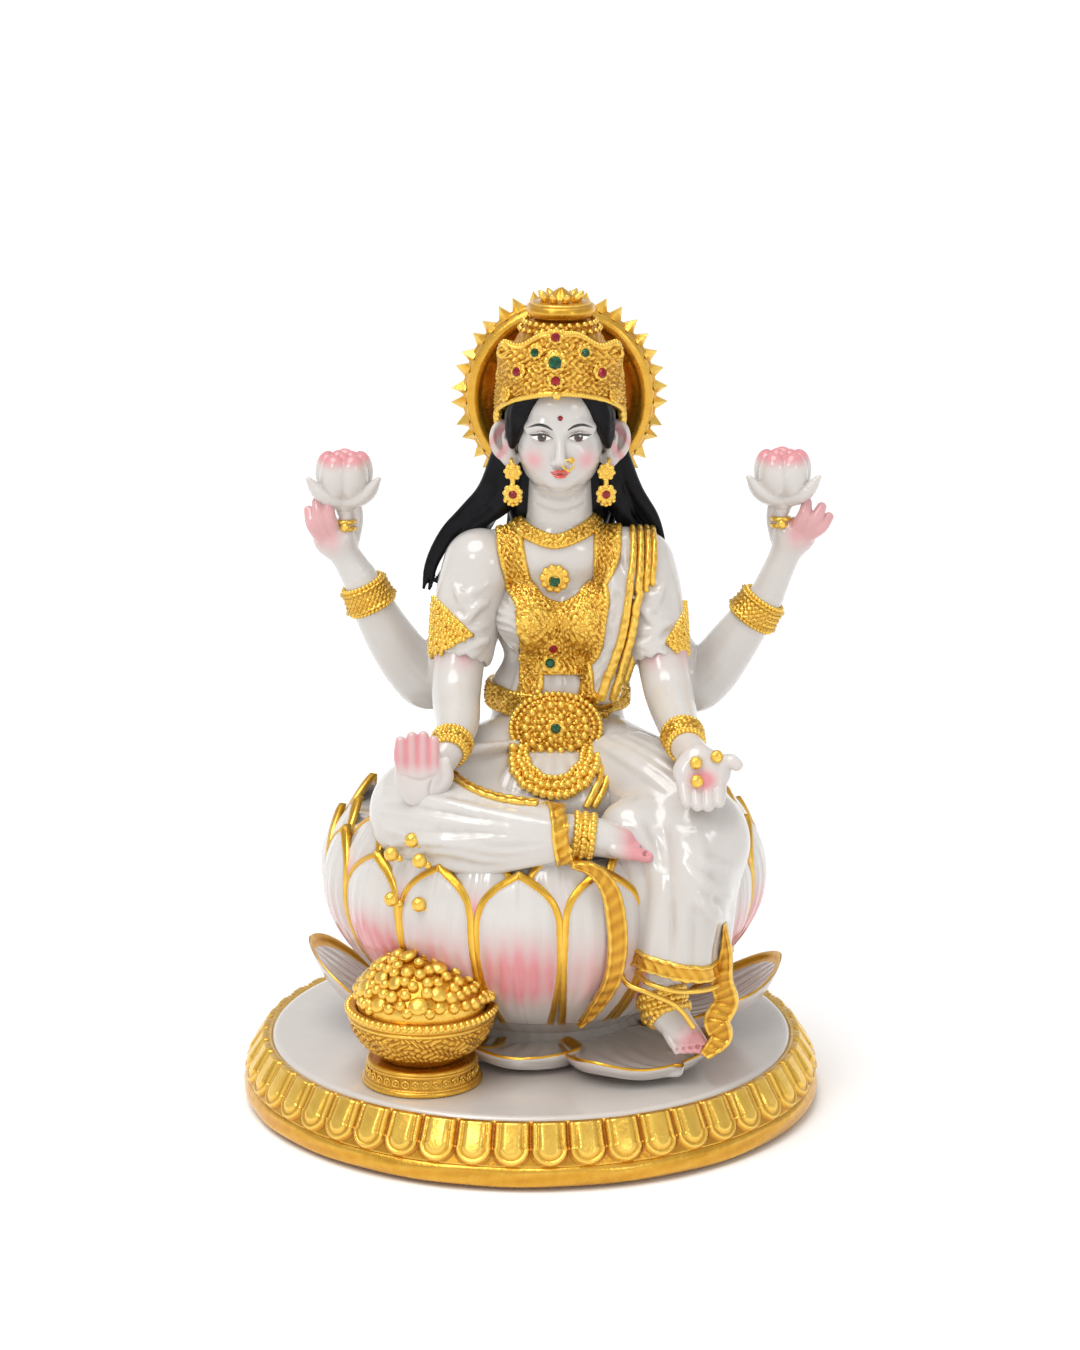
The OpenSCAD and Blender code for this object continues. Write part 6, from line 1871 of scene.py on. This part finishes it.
def gem(bits, c, n, r, sides=8):
    """A faceted glass stone: a girdle, sloping facets and a flat table."""
    n = unit(n)
    u = unit(np.cross(n, V(0.2, 0.1, 1)))
    w = np.cross(n, u)
    a = (np.arange(sides) + 0.5) / sides * 2 * math.pi
    rings = [c + rr * r * (np.cos(a + turn)[:, None] * u + np.sin(a + turn)[:, None] * w) + h * r * n
             for rr, h, turn in ((0.92, -0.5, 0), (1.0, 0.0, 0), (0.62, 0.42, math.pi / sides))]
    v = np.vstack([*rings, c + 0.46 * r * n, c - 0.5 * r * n])
    i = np.arange(sides)
    j, top, foot = (i + 1) % sides, np.full(sides, 3 * sides), np.full(sides, 3 * sides + 1)
    m, k = sides, 2 * sides
    faces = [(i, j, j + m, i + m), (i + m, j + m, i + k, i + k), (i + k, j + m, j + k, j + k), (i + k, j + k, top, top), (j, i, foot, foot)]
    return bits.add(v, np.vstack([np.stack(f, 1) for f in faces]))


def stones(chest, medal):
    red, green = Bits(), Bits()
    for x, z, r, out in ((-1.0, 190.7, 1.15, 1.8), (-9.3, 182.2, 1.2, 1.8), (8.9, 182.0, 1.3, 1.8), (-1.0, 180.7, 1.2, 1.8)):
        c, n = crown_at(x, z, out)
        gem(red, c, n, r * SIZE)
    for x, z, r, out in ((-5.4, 187.0, 1.1, 1.7), (5.3, 187.0, 1.1, 1.7), (-1.1, 185.0, 1.65, 2.1)):
        c, n = crown_at(x, z, out)
        gem(green, c, n, r * SIZE)
    for bits, x, y, z, r, out, sides in ((red, 4.7, -9, 116.6, 1.15, 2.1, 8), (green, 4.9, -9, 111.2, 1.25, 2.2, 8), (green, 5.8, -3.6, 131.6, 1.5, 2.2, 4)):
        p = chest.strike([(x, y, z)], out * SIZE)
        gem(bits, p[0], unit(chest.normal(p)[0] + V(0, -0.5, 0)), r * SIZE, sides)
    gem(green, medal, V(0, -1, 0.22), 1.3 * SIZE)
    for x in (-4.3, 18.0):
        gem(red, P(x, -4.3, 151.8), V(0, -1, 0.1), 1.05 * SIZE)
    gem(red, P(7, -8.35, 171.2), V(0, -1, 0.15), 0.62 * SIZE, 12)
    gather("red_stones_cut", red, RED, ["red_stones"], smooth_shade=False)
    gather("green_stones_cut", green, GREEN, ["green_stones"], smooth_shade=False)


def earrings():
    for word, x, lobe in (("right", -4.3, -4.6), ("left", 18.0, 18.6)):
        bits = Bits()
        n = unit(V(0.15 if x > 7 else -0.15, -1, 0.05))
        flower(bits, P(x, -2.6, 157.0), n, 2.1 * SIZE)
        flower(bits, P(x, -3.2, 151.8), n, 2.35 * SIZE, 9)
        bits.tube(spline(Q([(lobe, 0.5, 159.5), (lobe, -2.4, 159.6), (x, -2.6, 157)]), 12), 0.5, 8, relief=0.3)
        bits.tube(spline(Q([(x, -2.6, 155.5), (x, -3.0, 153.5)]), 6), 0.6, 8, relief=0.3)
        for k in range(5):
            bits.balls([P(x + 1.1 * (k - 2) * 0.8, -3.1, 149.1 + 0.25 * (k - 2) ** 2)], 0.55, n=8, relief=0.5)
        gather(word + "_earring_cast", bits, GOLD, [word + "_earring"])
    bits = Bits()
    c = P(8.9, -10.1, 160.3)
    w = np.linspace(0.5, 6.4, 26)
    bits.tube(c + 1.25 * SIZE * np.stack([np.cos(w), -0.35 * np.abs(np.cos(w)), np.sin(w)], 1), 0.24, 8, relief=0.4)
    flower(bits, P(9.7, -9.7, 161.3), V(0.4, -1, 0.2), 0.8 * SIZE, 6)
    bits.balls([P(8.9, -10.4, 158.95), P(10.1, -9.6, 159.6)], 0.36, n=8, relief=0.5)
    gather("nose_ornament_cast", bits, GOLD, ["nose_ornament"])


def coins_and_pin(palm):
    bits = Bits()
    n = unit(V(0, -1, 0.35))
    for c in Q([(-28, -38.2, 76.0), (-33.0, -35, 71.6), (-26.2, -40.3, 71.6), (-26.4, -41.6, 61.2), (-33.0, -37.5, 61.2)]):
        bits.balls([c], 1.8 * SIZE, (n, 0.75), 16, relief=0.3)
        w = np.arange(24) / 24 * 2 * np.pi
        ring = c + 1.15 * SIZE * (np.cos(w)[:, None] * V(1, 0, 0) + np.sin(w)[:, None] * unit(np.cross(V(1, 0, 0), n))) + 0.85 * SIZE * n
        bits.tube(ring, 0.22, 6, True, relief=0.5)
        bits.balls([c + V(2.0, 0.3, -1.2) * SIZE], 0.9 * SIZE, n=10, relief=0.3)
    gather("falling_coins_cast", bits, GOLD, ["falling_coins"])
    bits = Bits()
    for c in palm.strike([(38.7, -42, 96.1), (38.9, -42, 91.4), (43.8, -42, 97.0)], 0.6):
        bits.balls([c], 1.55 * SIZE, (n, 0.6), 16, relief=0.3)
        w = np.arange(24) / 24 * 2 * np.pi
        bits.tube(c + 1.05 * SIZE * (np.cos(w)[:, None] * V(1, 0, 0) + np.sin(w)[:, None] * unit(np.cross(V(1, 0, 0), n)))
                  + 0.6 * SIZE * n, 0.2, 6, True, relief=0.5)
    gather("palm_coins_cast", bits, GOLD, ["palm_coins"])
    lo, hi = low("assembly_pins"), high("assembly_pins")
    r = (hi - lo)[0] / 2
    c = (lo + hi) / 2
    rows = [(0, lo[2]), (r - 0.5, lo[2]), (r, lo[2] + 0.5), (r, hi[2] - 0.5), (r - 0.5, hi[2]), (0, hi[2])]
    gather("assembly_pin_turned", Bits().revolve(even(V(*rows).reshape(-1, 2), 0.5), c, 32), STEEL, ["assembly_pins"])


plinth()
lotus()
pot()
torso, sleeves, hips, right_leg, left_leg, arms = body()
left_palm = hands()
right_foot, left_foot = feet()
limb_gold(arms, right_leg, left_leg, right_foot, left_foot)
buds()
sleeve_leaves(sleeves)
head()
hair()
crown()
halo()
chest, medal = ornaments(torso, sleeves, hips, right_leg)
stones(chest, medal)
earrings()
coins_and_pin(left_palm)


# ---------------------------------------------------------------- camera, light and floor
def look(cam, at):
    cam.rotation_euler = (at - cam.location).to_track_quat("-Z", "Y").to_euler()


def studio():
    target = Vector((0.0022, 0, 0.1061))
    back = Vector((0, -math.cos(math.radians(15)), math.sin(math.radians(15))))
    data = bpy.data.cameras.new("camera")
    data.sensor_width, data.lens = 36, 115.5
    data.clip_start, data.clip_end = 0.05, 200
    cam = bpy.data.objects.new("camera", data)
    bpy.context.scene.collection.objects.link(cam)
    cam.location = target + 1.05 * back
    look(cam, target)
    bpy.context.scene.camera = cam

    world = bpy.data.worlds.new("studio")
    bpy.context.scene.world = world
    world.use_nodes = True
    t = world.node_tree
    height = t.nodes.new("ShaderNodeSeparateXYZ")
    link(t, t.nodes.new("ShaderNodeTexCoord").outputs["Generated"], height.inputs[0])
    sky = ramp(t, spread(t, height.outputs["Z"], -1, 1), [(0.0, (1.0,) * 3), (0.565, (1.0,) * 3), (0.64, (0.52,) * 3), (0.80, (0.48,) * 3),
                                                          (0.95, (0.78,) * 3)])
    link(t, sky, t.nodes["Background"].inputs["Color"])
    t.nodes["Background"].inputs["Strength"].default_value = 1.15
    for name, kind, place, size, power in (("key", "AREA", (-0.55, -0.85, 0.95), 0.30, 2.3), ("fill", "AREA", (0.7, -0.9, 0.6), 0.25, 0.9),
                                           ("sky", "SUN", (-0.3, -0.25, 1.3), 0.7, 1.5), ("front", "SUN", (0.1, -1.0, 0.45), 0.9, 0.12)):
        light = bpy.data.lights.new(name, kind)
        light.energy = power
        if kind == "AREA":
            light.size = size
        else:
            light.angle = size
        lamp = bpy.data.objects.new(name, light)
        bpy.context.scene.collection.objects.link(lamp)
        lamp.location = place
        look(lamp, Vector((0, 0, 0.09)))

    floor = bpy.data.meshes.new("floor")
    floor.from_pydata([(-60, -60, 0), (60, -60, 0), (60, 60, 0), (-60, 60, 0)], [], [(0, 1, 2, 3)])
    obj = bpy.data.objects.new("floor", floor)
    bpy.context.scene.collection.objects.link(obj)
    m, t, b = nodes_of("floor_white")
    b.inputs["Base Color"].default_value = (0.97, 0.97, 0.97, 1)
    b.inputs["Roughness"].default_value = 0.9
    obj.data.materials.append(m)
    bpy.context.scene.view_settings.view_transform = "Standard"
    bpy.context.scene.view_settings.look = "None"


studio()
